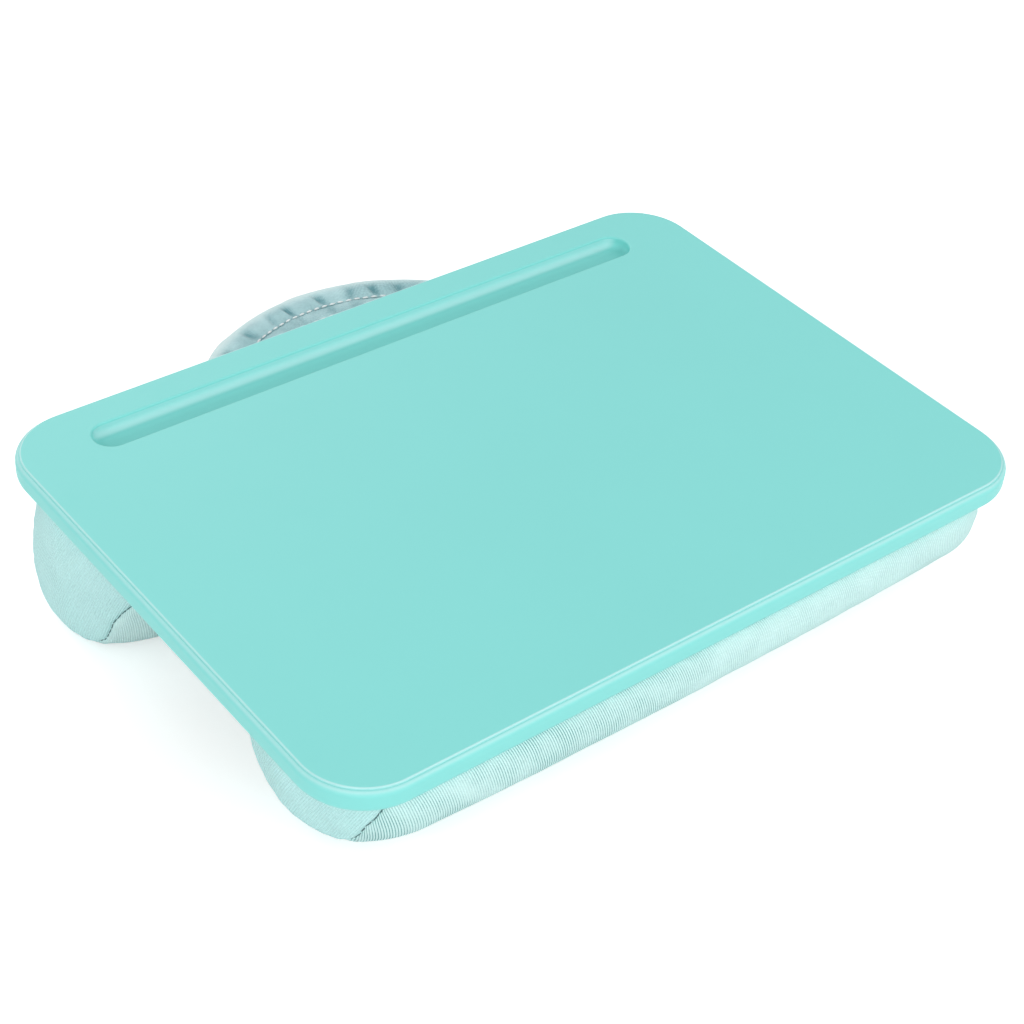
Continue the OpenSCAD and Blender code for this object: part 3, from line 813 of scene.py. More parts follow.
class Bolster:
    """The sewn form of one bolster. All its lengths are in metres."""

    # Points on a quarter turn of a section, and rings of the form that the seams are bent on.
    QUARTER_POINTS = 60
    EVEN_RINGS = 420
    EVEN_ROUNDS = 50
    # Distance from a rim over which the line to its dome is rounded off.
    RIM_EASE = 9 * MM
    # Distance from a seam at which its drift starts to fade, and over which it fades away.
    DRIFT_HELD, DRIFT_FADE = 3 * MM, 22 * MM
    # Length over which a seam turns inwards again under the bolster, and half of that turn.
    UNDER_FADE, UNDER_DRIFT = 30 * MM, 1 * MM
    # Height and wave lengths of the small waves in a seam.
    WOBBLE, SHORT_WAVE, LONG_WAVE = 0.2 * MM, 1.3 * MM, 3.1 * MM

    def __init__(self, sizes, shared):
        self.sizes = sizes
        self.shared = shared
        self.start = sizes.rim - sizes.plan_round
        self.arc = sizes.plan_round * math.pi / 2
        self.cap = sizes.half_width - sizes.plan_round
        # Travel from the bolster's middle along its side, to the tip of an end and to a seam.
        self.reach = self.start + self.arc + self.cap
        seam_turn = math.asin((sizes.rim - sizes.seam_in - self.start) / sizes.plan_round)
        self.seam = self.start + sizes.plan_round * seam_turn
        self.depth = self.settled_depth()

    def settled_depth(self):
        """Depth below the panel at which the tilted underside settles flat on the floor."""
        s, c = self.sizes, self.shared
        fall = math.cos(TILT) - s.lean * math.sin(TILT)
        line = DESK.translation.z + s.middle * math.sin(TILT) - c.top * math.cos(TILT)
        across = (s.half_width + s.crown) * math.sin(TILT)
        down = (1 - c.swell) * line
        power = s.full / (s.full - 1)
        hang = (across ** power + down ** power) ** (1 / power) - down
        return (line - hang + c.settle) / fall

    def draw_in(self, radius, x, inset):
        """How much a round draws the section in at a place along the bolster."""
        share = np.clip((abs(x) - self.sizes.rim + radius) / (radius - inset), 0, 1)
        return (radius - inset) * (1 - math.sqrt(1 - share * share))

    def side(self, wide, down):
        """Half width of the drawn-in side at a depth below the sewn edge."""
        share = 1 - down / (self.shared.swell * self.depth)
        return wide - self.shared.tuck * (1 - np.sqrt(1 - share ** 2))

    def section(self, x, inset, columns, lid):
        """A closed ring in the row frame: columns points from the front sewn edge round
        the underside to the rear one, then lid points back across the top."""
        s, c = self.sizes, self.shared
        bulge = s.crown * (1 - min(1, abs(x) / s.rim) ** 2)
        wide = s.half_width + bulge - self.draw_in(s.plan_round, x, inset) - inset
        upper = c.swell * self.depth
        lower = self.depth - upper - self.draw_in(s.end_round, x, inset) - inset
        turn = np.linspace(0, QUARTER, self.QUARTER_POINTS, endpoint=False)
        down = inset + (upper - inset) * (1 - np.cos(turn))
        side = np.stack([self.side(wide, down), down], axis=1)
        angle = np.linspace(0, math.pi, 4 * self.QUARTER_POINTS)
        across = np.sign(np.cos(angle)) * np.abs(np.cos(angle)) ** (2 / s.full)
        under = np.stack([-wide * across, upper + lower * np.abs(np.sin(angle)) ** (2 / s.full)], axis=1)
        ring = even(np.concatenate([side * [-1, 1], under, side[::-1]]), columns)
        ring = np.concatenate([ring, np.linspace(ring[-1], ring[0], lid + 2)[1:-1]])
        middle = s.middle + ring[:, 0] + s.lean * ring[:, 1]
        points = on_desk(np.stack([np.full(len(ring), x), middle, -c.top - ring[:, 1]], axis=1))
        points[:, 2] = np.maximum(points[:, 2], inset)
        return points

    def ring(self, travel, inset, columns, lid):
        """The ring at a travel along the bolster's side, which is negative to the left."""
        side = 1 if travel >= 0 else -1
        s, distance = self.sizes, abs(travel)
        share = 1.0
        if distance <= self.start:
            x = distance
        elif distance <= self.start + self.arc:
            turn = (distance - self.start) / s.plan_round
            x = self.start + (s.plan_round - inset) * math.sin(turn)
        else:
            x = s.rim - inset
            share = max(0.0, 1 - (distance - self.start - self.arc) / self.cap)
        points = self.section(side * x, inset, columns, lid)
        if share < 1:
            centre = (points.min(axis=0) + points.max(axis=0)) / 2
            points = centre + (points - centre) * share
            points[:, 0] = side * (x + self.shared.dome * (1 - share ** 2))
        return points

    def grid(self, travels, inset, columns, lid, rounds):
        """Rings at all the travels, with the line between each rim and its dome rounded off."""
        grid = np.array([self.ring(t, inset, columns, lid) for t in travels])
        rim = self.start + self.arc
        share = np.exp(-(((np.abs(travels) - rim) / self.RIM_EASE) ** 2))[1:-1, None, None]
        for _ in range(rounds):
            grid[1:-1] += 0.5 * share * ((grid[:-2] + grid[2:]) / 2 - grid[1:-1])
        return grid

    def warped(self, travels, columns, lid):
        """The form with its seams drawn in towards their upper ends, and where along the
        bolster each of its points lies."""
        even_travels = np.linspace(-self.reach, self.reach, self.EVEN_RINGS)
        even_grid = self.grid(even_travels, 0, columns, lid, self.EVEN_ROUNDS)
        steps = travelled(even_grid[len(even_grid) // 2, :columns])
        from_edge = np.minimum(steps, steps[-1] - steps)
        near = np.clip(from_edge / self.sizes.drift_depth, 0, 1)
        under = np.clip((from_edge - self.sizes.drift_depth) / self.UNDER_FADE, 0, 1)
        drift = np.full(columns + lid, self.sizes.drift)
        drift[:columns] *= (1 + np.cos(math.pi * near)) / 2
        drift[:columns] += self.UNDER_DRIFT * (1 - np.cos(math.pi * under))
        drift[:columns] += self.WOBBLE * np.sin(steps / self.SHORT_WAVE) * np.sin(steps / self.LONG_WAVE)
        away = np.abs(np.abs(travels) - self.seam)
        away = np.clip((away - self.DRIFT_HELD) / self.DRIFT_FADE, 0, 1)
        hold = (1 + np.cos(math.pi * away)) / 2 * np.sign(travels)
        places = travels[:, None] - hold[:, None] * drift[None, :]
        return read_off(even_grid, even_travels, places), places


class BolsterMaker:
    """Sews one bolster: its long panel, both domed end panels, its pillow and its seam threads."""

    # Points in a ring of the cover, round its side and underside and then across its top.
    COLUMNS, LID = 110, 10
    # Distances in mm of the rings next to a seam, and the gap to the even rings.
    NEAR_SEAM, CLEAR_OF_SEAM = (0, 0.35, 0.75, 1.25, 1.9, 2.8), 0.6
    # The cloth that is simulated: the spacing of its rings, their points and its pressure.
    COARSE_SPACING, COARSE_COLUMNS, COARSE_LID = 5 * MM, 44, 4
    PRESSURE = 3.0
    # How firmly it is held at a seam and on the floor, and the height under which it lies there.
    SEAM_HOLD, FLOOR_HOLD, FLOOR_HEIGHT = 0.9, 0.8, 0.3 * MM
    TIP_FADE = 26 * MM
    # The cloth of an end panel: the turn of its ribs, and how strongly ribs and speckles show.
    END_BIAS, END_RIBS, END_SPECKLE = math.radians(38), 0.25, 0.7
    # Width in mm of a seam's valley, then height, distance and width of the swelling next to it.
    DIP_WIDTH = 0.8
    PLUMP, PLUMP_AWAY, PLUMP_WIDTH = 0.35 * MM, 3.2, 2.2
    # Fields of waves: the height of each, then how many waves, their longest and their shortest.
    PUCKER, PUCKER_WAVES, PUCKER_FADE = 0.14 * MM, (9, (3.0, 0.05), (0.6, 0.02)), 6
    SOFT, SOFT_WAVES = 0.08 * MM, (14, (0.5, 0.5), (0.04, 0.05))
    LUMP, LUMP_WAVES = 0.25 * MM, (16, (0.4, 0.5), (0.03, 0.06))
    PILLOW_COLUMNS, PILLOW_LID, PILLOW_STEP = 60, 6, 3
    THREAD_LIFT = 0.05 * MM

    def sew(self, which, sizes, seed):
        shared, colours = settings().cushion, settings().colours
        self.form = Bolster(sizes, shared)
        travels = self.travels(shared.spacing)
        grid, places = self.form.warped(travels, self.COLUMNS, self.LID)
        grid = self.ripple(grid, places, shared)
        grid = self.dip_seams(grid, travels, shared, seed)
        grid[:, :, 2] = np.maximum(grid[:, :, 2], 0)
        left, right = (int(np.argmin(np.abs(travels - side * self.form.seam))) for side in (-1, 1))
        middle, start, end = grid[left:right + 1], grid[:left + 1], grid[right:]
        cover_uv = self.cover_uv(middle, places[left:right + 1])
        cover_cloth = panel_cloth(f"{which}_ribbed_cloth", sizes.ribs)
        end_cloth = shared_finish(
            "ribbed_end_cloth", ribbed_cloth, colours.end_cloth, colours.groove, self.END_RIBS,
            self.END_SPECKLE)
        for part, node, rings, uv, cloth, tips in (
                ("cover", "bolster_cover", middle, cover_uv, cover_cloth, (False, False)),
                ("left_end", "left_end", start, self.end_uv(start, True), end_cloth, (True, False)),
                ("right_end", "right_end", end, self.end_uv(end, False), end_cloth, (False, True))):
            piece = grid_mesh(f"{which}_{part}_cloth", rings, uv, tips=tips)
            thicken(piece, shared.cloth)
            stand_for(piece, f"{which}_{node}", cloth)
        self.fill(which, travels, shared, seed)
        self.thread_seams(which, grid, {"left": left, "right": right})

    def travels(self, spacing):
        """Travels of the rings: even steps, with closer ones next to the two seams."""
        reach, seam = self.form.reach, self.form.seam
        plain = np.linspace(-reach, reach, int(round(2 * reach / spacing)) + 1)
        near = [side * seam + way * MM * d for side in (-1, 1) for way in (-1, 1) for d in self.NEAR_SEAM]
        clear = [t for t in plain if abs(abs(t) - seam) > (self.NEAR_SEAM[-1] + self.CLEAR_OF_SEAM) * MM]
        return np.unique(np.round(np.concatenate([clear, near]), 7))

    def ripple(self, grid, places, shared):
        """Adds the soft puckers of cloth that is gathered onto its sewn edges."""
        reach, columns = self.form.reach, self.COARSE_COLUMNS
        coarse = np.linspace(-reach, reach, int(round(2 * reach / self.COARSE_SPACING)) + 1)
        base = self.form.grid(coarse, 0, columns, self.COARSE_LID, rounds=12)
        held = np.zeros(base.shape[:2])
        held[:, columns - 1:] = 1
        held[:, 0] = 1
        held[base[:, :, 2] < self.FLOOR_HEIGHT] = self.FLOOR_HOLD
        for side in (-1, 1):
            row = int(np.argmin(np.abs(coarse - side * self.form.seam)))
            held[row] = np.maximum(held[row], self.SEAM_HOLD)
        moves = inflate("pad", base, held, shared.gather, self.PRESSURE) - base
        moves = capped(smoothed(moves - smoothed(moves, 30), 3), shared.pucker)
        fine = read_off(widened(moves, self.COLUMNS + self.LID), coarse, places)
        return grid + smoothed(evened(fine, 4), 4) * self.clear_of_tips(places[:, 0])[:, None, None]

    def clear_of_tips(self, travels):
        """A share that falls to 0 at the tips, where the rings shrink to a point."""
        return eased(np.clip((self.form.reach - np.abs(travels)) / self.TIP_FADE, 0, 1))

    def dip_seams(self, grid, travels, shared, seed):
        """Presses the valley of each seam in, with small puckers that fade from it."""
        shape = grid.shape[:2]
        away = np.abs(np.abs(travels) - self.form.seam)[:, None] / MM
        dip = -shared.seam_dip * np.exp(-((away / self.DIP_WIDTH) ** 2))
        plump = self.PLUMP * np.exp(-(((away - self.PLUMP_AWAY) / self.PLUMP_WIDTH) ** 2))
        pucker = self.PUCKER * waves(shape, seed, *self.PUCKER_WAVES) * np.exp(-away / self.PUCKER_FADE)
        soft = self.SOFT * waves(shape, seed + 1, *self.SOFT_WAVES)
        free = np.arange(shape[1]) < self.COLUMNS
        moved = (dip + plump + pucker + soft) * free * self.clear_of_tips(travels)[:, None]
        return grid + normals(grid) * moved[:, :, None]

    def cover_uv(self, part, places):
        """Places on the long panel: across the ribs along the bolster, along them round it."""
        around = travelled(with_first(part)[len(part) // 2])[None, :]
        across = with_first(places) - self.form.sizes.slant * around
        return np.stack([across, np.broadcast_to(around, across.shape)], axis=2)

    def end_uv(self, part, tip_first):
        """Places on an end panel, spread flat from its tip and turned to the ribs' direction."""
        rings = part if tip_first else part[::-1]
        flat = rings[:, :, 1:] - rings[0, 0, 1:]
        size = np.maximum(np.linalg.norm(flat, axis=2), 1e-9)
        x, y = np.moveaxis(flat / size[:, :, None] * travelled(rings)[:, :, None], 2, 0)
        cos, sin = math.cos(self.END_BIAS), math.sin(self.END_BIAS)
        uv = with_first(np.stack([x * cos + y * sin, y * cos - x * sin], axis=2))
        return uv if tip_first else uv[::-1]

    def fill(self, which, travels, shared, seed):
        """The stuffed pillow inside, lumpy from its filling."""
        inside = travels[::self.PILLOW_STEP].copy()
        inside[-1] = travels[-1]
        grid = self.form.grid(inside, shared.lining, self.PILLOW_COLUMNS, self.PILLOW_LID, rounds=20)
        lumps = waves(grid.shape[:2], seed + 5, *self.LUMP_WAVES)
        grid = grid - normals(grid) * (self.LUMP * (1 + lumps))[:, :, None]
        grid[:, :, 2] = np.maximum(grid[:, :, 2], shared.lining)
        grid[0], grid[-1] = grid[0].mean(axis=0), grid[-1].mean(axis=0)
        uv = flat_places(inside, np.linspace(0, 0.3, grid.shape[1] + 1))
        pillow = grid_mesh(f"{which}_pillow_cloth", grid, uv, tips=(True, True))
        cloth = shared_finish("filling_cloth", plain_cloth, settings().colours.filling)
        stand_for(pillow, f"{which}_pillow", cloth)

    def thread_seams(self, which, grid, rows):
        """Dark thread that shows along both seams."""
        sizes = settings().stitches
        path = slice(1, self.COLUMNS - 1)
        raised = grid + normals(grid) * self.THREAD_LIFT
        material = shared_finish("seam_thread", thread, settings().colours.seam)
        for side, row in rows.items():
            made = stitches(
                f"{which}_{side}_seam_thread", [raised[row, path]], material, sizes.seam_length,
                sizes.seam_gap, sizes.seam_thread, turn=0.07)
            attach(made, ROOT)


class LAPDESK_OT_top(bpy.types.Operator):
    """Finish the moulded top"""

    bl_idname = "lapdesk.top"
    bl_label = "Moulded Top"

    def execute(self, context):
        paint("desk_top", moulded_plastic("moulded_plastic", settings().colours, settings().top))
        return {"FINISHED"}


class LAPDESK_OT_underside(bpy.types.Operator):
    """Finish the board, the screws and the staples under the top"""

    bl_idname = "lapdesk.underside"
    bl_label = "Underside"

    def execute(self, context):
        paint("backing_panel", fibre_board("fibre_board", settings().colours.board))
        steel = plated_steel("plated_steel", settings().colours.steel)
        for node in ("panel_screws", "hem_staples"):
            paint(node, steel)
        return {"FINISHED"}


class LAPDESK_OT_front_bolster(BolsterMaker, bpy.types.Operator):
    """Sew the small bolster at the user's side"""

    bl_idname = "lapdesk.front_bolster"
    bl_label = "Front Bolster"

    def execute(self, context):
        self.sew("front", settings().front, seed=11)
        return {"FINISHED"}


class LAPDESK_OT_rear_bolster(BolsterMaker, bpy.types.Operator):
    """Sew the large bolster at the back"""

    bl_idname = "lapdesk.rear_bolster"
    bl_label = "Rear Bolster"

    def execute(self, context):
        self.sew("rear", settings().rear, seed=23)
        return {"FINISHED"}


class LAPDESK_OT_valley(bpy.types.Operator):
    """Stretch the cloth across the valley between the bolsters"""

    bl_idname = "lapdesk.valley"
    bl_label = "Valley Cloth"

    ROWS, COLUMNS = 130, 26
    CLOTH, GAP = 0.6 * MM, 0.05 * MM
    SAG, SAG_WAVES, SEED = 0.25 * MM, (12, (0.6, 1), (0.05, 0.3)), 31
    # Product of the distances from both ends at which the sag is whole, in square metres.
    END_FADE = 4e-4

    def execute(self, context):
        low, high = desk_box("valley_cloth")
        places = flat_places(
            np.linspace(low[0], high[0], self.ROWS), np.linspace(low[1], high[1], self.COLUMNS))
        x = places[:, :, 0]
        from_ends = np.minimum((x - low[0]) * (high[0] - x), self.END_FADE) / self.END_FADE
        sag = self.SAG * from_ends * (1 + waves(x.shape, self.SEED, *self.SAG_WAVES))
        grid = on_desk(np.dstack([places, high[2] - self.GAP - sag]))
        made = grid_mesh("valley_sheet", grid, places, closed=False)
        thicken(made, self.CLOTH, offset=1)
        stand_for(made, "valley_cloth", panel_cloth())
        return {"FINISHED"}


class LAPDESK_OT_hem(bpy.types.Operator):
    """Turn the hem of the cover over the board's edge"""

    bl_idname = "lapdesk.hem"
    bl_label = "Cover Hem"

    JOIN = 0.002 * MM
    # Share by which the fold's width varies, and how often it does round the board.
    RIPPLE, RIPPLES = 0.04, 37
    # Length and width of the cloth, in metres.
    CLOTH = (1.15, 0.05)
    ROUND_POINTS, CORNER_POINTS, SIDE_POINTS = 6, 14, 24

    def execute(self, context):
        low, high = desk_box("cover_hem")
        sizes = settings().hem
        wide, radius = sizes.fold, sizes.corner
        profile = self.profile(wide, sizes.cloth, low[2], high[2])
        rows = []
        for place, out in self.outline(high[0], high[1], radius):
            ripple = 1 + self.RIPPLE * math.sin(self.RIPPLES * math.atan2(place[1], place[0]))
            rows.append([[*(place - out * d * ripple), z] for d, z in profile])
        grid = on_desk(rows + rows[:1])
        uv = flat_places(
            np.linspace(0, self.CLOTH[0], len(grid)), np.linspace(0, self.CLOTH[1], len(profile) + 1))
        made = grid_mesh("hem_cloth", grid, uv)
        rework(made, lambda work: bmesh.ops.remove_doubles(work, verts=work.verts, dist=self.JOIN))
        stand_for(made, "cover_hem", panel_cloth())
        run = 2 * (high[0] - low[0] + high[1] - low[1]) - 8 * radius + math.tau * radius
        strip = wide + (high[2] - low[2])
        return {"FINISHED"}

    def profile(self, wide, thick, bottom, top):
        """The hem's section: how far in from the outline, and how high."""
        half = thick / 2
        outer = [(0, bottom), (0, top - thick)]
        outer += [(thick - thick * math.cos(a), top - thick + thick * math.sin(a))
                  for a in np.linspace(0, QUARTER, self.ROUND_POINTS)[1:]]
        outer += [(d, top) for d in np.linspace(thick, wide - half, 5)[1:]]
        round_end = [(wide - half + half * math.sin(a), top - half + half * math.cos(a))
                     for a in np.linspace(0, math.pi, self.ROUND_POINTS)[1:-1]]
        inner = [(d, top - thick) for d in np.linspace(wide - half, thick, 5)]
        return outer + round_end + inner + [(thick, bottom)]

    def outline(self, half_x, half_y, radius):
        """Points round the hem's outline, each with the direction outwards."""
        signs = np.array([(1, 1), (-1, 1), (-1, -1), (1, -1)])
        centres = signs * [half_x - radius, half_y - radius]
        points = []
        for turn, (centre, following) in enumerate(zip(centres, np.roll(centres, -1, axis=0))):
            for angle in turn * QUARTER + np.linspace(0, QUARTER, self.CORNER_POINTS):
                out = np.array([math.cos(angle), math.sin(angle)])
                points.append((centre + radius * out, out))
            for share in np.linspace(0, 1, self.SIDE_POINTS)[1:-1]:
                points.append((centre + (following - centre) * share + radius * out, out))
        return points


class LAPDESK_OT_handle(bpy.types.Operator):
    """Sew the padded handle, with its roots on the rear bolster"""

    bl_idname = "lapdesk.handle"
    bl_label = "Carrying Handle"

    RINGS = 260
    # Every how many rings are simulated, and the pressure that blows them up.
    COARSE_STEP, PRESSURE = 4, 2.0
    # How far the strap starts inside the bolster, and half the width of a stitched line.
    ROOT_INSIDE, FLAT = 1.5 * MM, 0.5 * MM
    # How far before and behind its hinge the strap bends.
    BEND_BEFORE, BEND_BEHIND = 3 * MM, 7 * MM
    # Share of the creases' depth in the quilted part, then the strength and width in mm of the
    # painted shade along a row of stitches.
    QUILT_SHARE = 0.35
    ROW_SHADE, ROW_WIDTH = 0.55, 0.9
    # Shares of the roll's width at which the painted highlight of the outer edge starts and over which it
    # grows.
    WORN_START, WORN_GROWS = 0.45, 0.5
    # Each crease: its angle along the arc, its width in mm, its share of the depth and its lean.
    CREASES = (
        (34, 4, 0.7, 3), (48, 6, 0.5, -2), (60, 5, 0.7, 3), (68, 4, 0.9, 4), (75, 5, 0.6, -3),
        (85.5, 4, 1.0, 3), (97, 3, 1.0, 2), (104, 5, 0.5, -2), (114, 5, 0.8, 2), (126, 5, 0.6, -3),
        (138, 5, 0.8, 2))

    def execute(self, context):
        sizes, colours = settings().handle, settings().colours
        grid, angle = self.form(sizes)
        grid = self.crease(self.pucker(grid, sizes), angle, sizes)
        strap = grid_mesh("handle_cloth", grid, self.uv(grid))
        rework(strap, lambda work: self.close_ends(work, grid.shape[1]))
        # Marks for the finish: painted shade in the folds, and a painted highlight on the outer edge.
        for name, values in (("fold", self.fold_shade), ("wear_and_highlight", self.wear_and_highlight)):
            marks = strap.data.attributes.new(name, "FLOAT", "POINT")
            marks.data.foreach_set("value", values.astype(np.float32).ravel())
        dress(strap, handle_cloth("handle_cloth", colours))
        paint("handle_webbing", webbing("webbing_cloth", colours.filling))
        self.bend(strap)
        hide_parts("handle_strap", "handle_left_tab", "handle_right_tab")
        self.stitch(grid)
        return {"FINISHED"}

    def section(self, sizes):
        """Places across the strap from its inner edge to its outer one, with the half
        thickness there, and the numbers of the places under the two stitch rows."""
        half, flat, sewn = sizes.width / 2, self.FLAT, sizes.stitched
        outer_row = half - sizes.roll
        inner_row = outer_row - sizes.quilt
        wide = (sizes.roll - flat) / 2
        hem, edge = np.linspace(0, QUARTER, 6)[:-1], np.linspace(0, QUARTER, 11)[1:]
        quilt, roll = np.linspace(0, 1, 10)[1:-1], np.linspace(0, 1, 9)[1:]
        parts = (
            (-half + (inner_row - flat + half) * (1 - np.cos(hem)), sewn * np.sin(hem)),
            ([inner_row - flat, inner_row, inner_row + flat], [sewn] * 3),
            (inner_row + flat + quilt * (sizes.quilt - 2 * flat),
             sewn + (sizes.quilt_rise - sewn) * np.sin(math.pi * quilt)),
            ([outer_row - flat, outer_row, outer_row + flat], [sewn] * 3),
            (outer_row + flat + roll * wide, sewn + (sizes.roll_rise - sewn) * np.sin(QUARTER * roll)),
            (half - wide + wide * np.sin(edge), sizes.roll_rise * np.cos(edge)))
        across, rise = (np.concatenate(column) for column in zip(*parts))
        first = len(hem) + 1
        return across, rise, (first, first + len(quilt) + 3)

    def form(self, sizes):
        """Rings round the strap's section, along its arc from the left root to the right one,
        and the angle at which each of their points lies."""
        across, rise, self.rows = self.section(sizes)
        self.ring_w = np.concatenate([across, across[-2:0:-1]])
        ring_z = np.concatenate([rise, -rise[-2:0:-1]])
        centre_y = sizes.reach - sizes.radius
        radius = sizes.radius - sizes.width / 2 + self.ring_w
        first = np.arcsin((self.root(sizes) - self.ROOT_INSIDE - centre_y) / radius)
        angle = math.pi - first - np.linspace(0, 1, self.RINGS)[:, None] * (math.pi - 2 * first)
        z = np.broadcast_to(ring_z - sizes.drop, angle.shape)
        return np.stack([radius * np.cos(angle), centre_y + radius * np.sin(angle), z], axis=2), angle

    def root(self, sizes):
        """Where the back of the rear bolster lies at the strap's level, in the desk frame."""
        form = Bolster(settings().rear, settings().cushion)
        down = sizes.drop - settings().cushion.top
        wide = form.sizes.half_width + form.sizes.crown
        return form.sizes.middle + form.side(wide, down) + form.sizes.lean * down

    def pucker(self, grid, sizes):
        """Blows the padding up between the stitch rows, and keeps its small puckers."""
        columns = grid.shape[1]
        tips = [grid[[k]].mean(axis=1, keepdims=True).repeat(columns, axis=1) for k in (0, -1)]
        places = np.arange(0, len(grid), self.COARSE_STEP)
        coarse = np.concatenate([tips[0], grid[places], tips[1]])
        held = np.zeros(coarse.shape[:2])
        held[:, [*self.rows, *(columns - row for row in self.rows)]] = 1
        held[:3] = held[-3:] = 1
        blown = inflate("strap", coarse, held, sizes.gather, self.PRESSURE)
        moves = capped(smoothed((blown - coarse)[1:-1], 1), sizes.pucker)
        every = np.arange(len(grid))[:, None].repeat(columns, axis=1)
        return grid + evened(read_off(moves, places, every), 10)

    def crease(self, grid, angle, sizes):
        """Presses the creases into the padding, marks the painted shade of the folds and the
        painted highlight of the outer edge for the finish, and gives the strap in the row frame."""
        inner = sizes.width / 2 - sizes.roll
        into = np.clip((self.ring_w - inner) / sizes.roll, 0, 1)
        depth = np.zeros(grid.shape[:2])
        for place, width, share, lean in self.CREASES:
            line = np.radians(place) + np.radians(lean) * (into - 0.4)
            off = (angle - line) * sizes.radius / (width * 0.5 * MM)
            depth += share * np.exp(-(off ** 2))
        rising = np.sin(math.pi * np.clip(into * 1.25, 0, 1)) * (into > 0)
        quilted = np.clip((self.ring_w - inner + sizes.quilt) / sizes.quilt, 0, 1) * (into == 0)
        depth *= sizes.crease * rising + self.QUILT_SHARE * sizes.crease * np.sin(math.pi * quilted)
        height = grid[:, :, 2] + sizes.drop
        spare = np.maximum(np.abs(height) - sizes.core, 0)
        grid[:, :, 2] -= np.sign(height) * np.minimum(spare, depth)
        # Painted shade in the creases and, below, along the stitch rows.
        self.fold_shade = np.clip(depth / sizes.crease, 0, 1)
        for row in self.rows:
            near = np.abs(self.ring_w - self.ring_w[row]) / MM
            self.fold_shade = np.maximum(self.fold_shade, self.ROW_SHADE * np.exp(-((near / self.ROW_WIDTH) ** 2)))
        # The outer edge of the roll is marked for a painted highlight.
        wear_and_highlight = eased(np.clip((into - self.WORN_START) / self.WORN_GROWS, 0, 1))
        self.wear_and_highlight = np.broadcast_to(wear_and_highlight, self.fold_shade.shape)
        return on_desk(grid)

    def uv(self, grid):
        """Places on the strap's cloth: along its arc, and round its section."""
        around = travelled(with_first(grid)[len(grid) // 2])
        return flat_places(travelled(grid).mean(axis=1), around)

    def close_ends(self, work, columns):
        """Closes the two cut ends of the strap with a face each."""
        points = list(work.verts)
        work.faces.new(points[:columns])
        work.faces.new(points[:-columns - 1:-1])
        bmesh.ops.triangulate(work, faces=[f for f in work.faces if len(f.verts) > 4])

    def bend(self, piece):
        """Bakes the piece's transform into its mesh."""
        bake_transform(piece)

    def stitch(self, grid):
        """Light thread along both stitch rows, above and below."""
        sizes, columns = settings().stitches, grid.shape[1]
        material = shared_finish("stitch_thread", thread, settings().colours.stitch)
        up = DESK_TURN @ [0, 0, 0.45 * MM]
        for name, column in zip(("inner", "outer"), self.rows):
            paths = [grid[5:-5, column] + up, grid[5:-5, columns - column] - up]
            made = stitches(
                f"handle_{name}_stitches", paths, material, sizes.top_length, sizes.top_gap,
                sizes.top_thread, turn=0.04)
            self.bend(made)


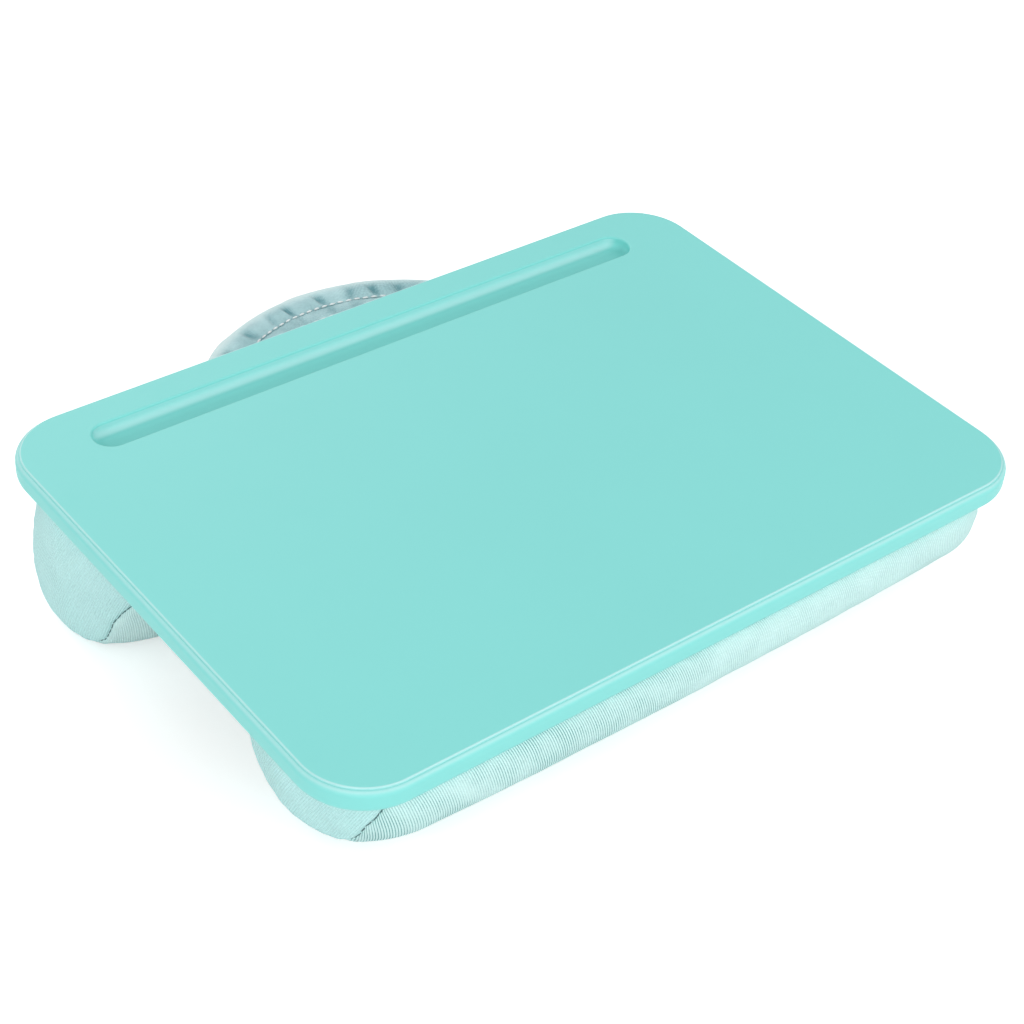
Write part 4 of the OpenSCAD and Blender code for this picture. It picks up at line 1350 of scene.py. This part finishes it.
class LAPDESK_OT_stage(bpy.types.Operator):
    """Set up the floor, the lights and the camera"""

    bl_idname = "lapdesk.stage"
    bl_label = "Stage"

    LENS = 75.744
    TARGET = (-0.02916, -0.05344, 0.06575)
    DISTANCE = 0.89022
    AZIMUTH = math.radians(-37.379)
    ELEVATION = math.radians(32.803)
    ROLL = math.radians(-1.389)
    # Each lamp: its place, its width and its power in watts.
    LAMPS = {
        "key": ((0.9, -1.9, 0.95), 1.8, 17),
        "fill": ((-1.5, -1.2, 0.8), 1.5, 15),
        "back": ((0.2, 1.8, 1.3), 1.8, 14)}
    LAMPS_AIM = (0, 0, 0.04)
    ROOM_LIGHT = 0.6
    ROOM_SEEN = 1.0
    FLOOR_SHADE = 0.88
    FLOOR_GLOW = 0.47

    def execute(self, context):
        self.floor()
        self.lights()
        self.camera()
        self.surroundings()
        context.scene.view_settings.view_transform = "Standard"
        return {"FINISHED"}

    def floor(self):
        bpy.ops.mesh.primitive_plane_add(size=40)
        floor = bpy.context.object
        floor.name = "floor"
        floor.location.z = -0.0002
        finish = Finish("pale_floor")
        floor.data.materials.append(finish.surface(
            base_color=(self.FLOOR_SHADE,) * 3,
            roughness=0.9,
            specular_ior_level=0.1,
            emission_color=(1, 1, 1),
            emission_strength=self.FLOOR_GLOW * finish.seen()))

    def lights(self):
        for name, (place, size, power) in self.LAMPS.items():
            lamp = bpy.data.lights.new(name, "AREA")
            lamp.size = size
            lamp.energy = power
            made = add_object(name, lamp)
            made.location = place
            aim = Vector(self.LAMPS_AIM) - Vector(place)
            made.rotation_euler = aim.to_track_quat("-Z", "Y").to_euler()

    def camera(self):
        camera = bpy.data.cameras.new("camera")
        camera.lens = self.LENS
        camera.sensor_width = 36
        camera.clip_start = 0.01
        made = add_object("camera", camera)
        a, e = self.AZIMUTH, self.ELEVATION
        back = Vector((math.sin(a) * math.cos(e), -math.cos(a) * math.cos(e), math.sin(e)))
        aim = (-back).to_track_quat("-Z", "Y").to_matrix().to_4x4()
        place = Matrix.Translation(Vector(self.TARGET) + back * self.DISTANCE)
        made.matrix_world = place @ aim @ Matrix.Rotation(self.ROLL, 4, "Z")
        bpy.context.scene.camera = made

    def surroundings(self):
        """White walls, whose light on the desk is weaker than they look."""
        world = bpy.data.worlds.new("studio")
        world.use_nodes = True
        bpy.context.scene.world = world
        graph = Graph(world.node_tree)
        strength = graph.node("ShaderNodeMapRange", {
            "Value": graph.seen(), "To Min": self.ROOM_LIGHT, "To Max": self.ROOM_SEEN})
        light = world.node_tree.nodes["Background"]
        graph.feed(light.inputs["Strength"], strength)
        graph.feed(light.inputs["Color"], (1, 1, 1, 1))


OPERATORS = (
    LAPDESK_OT_top, LAPDESK_OT_underside, LAPDESK_OT_front_bolster, LAPDESK_OT_rear_bolster,
    LAPDESK_OT_valley, LAPDESK_OT_hem, LAPDESK_OT_handle, LAPDESK_OT_stage)


class LAPDESK_PT_panel(bpy.types.Panel):
    """Lists the steps that make the lap desk."""

    bl_idname = "LAPDESK_PT_panel"
    bl_label = "Lap Desk"
    bl_space_type = "VIEW_3D"
    bl_region_type = "UI"
    bl_category = "Lap Desk"

    def draw(self, context):
        for operator in OPERATORS:
            self.layout.operator(operator.bl_idname)
        desk = context.scene.lap_desk
        for group in type(desk).__annotations__:
            box = self.layout.box()
            box.label(text=group.title())
            values = getattr(desk, group)
            for name in type(values).__annotations__:
                box.prop(values, name)


CLASSES = (
    TopSizes, FrontBolsterSizes, RearBolsterSizes, CushionSizes, HemSizes, HandleSizes, StitchSizes,
    DeskColours, LapDesk, *OPERATORS, LAPDESK_PT_panel)


def register():
    for item in CLASSES:
        bpy.utils.register_class(item)
    bpy.types.Scene.lap_desk = PointerProperty(type=LapDesk)


def unregister():
    del bpy.types.Scene.lap_desk
    for item in reversed(CLASSES):
        bpy.utils.unregister_class(item)


def main():
    register()
    for operator in OPERATORS:
        step = operator.bl_idname.removeprefix("lapdesk.")
        getattr(bpy.ops.lapdesk, step)()


if __name__ == "__main__":
    main()
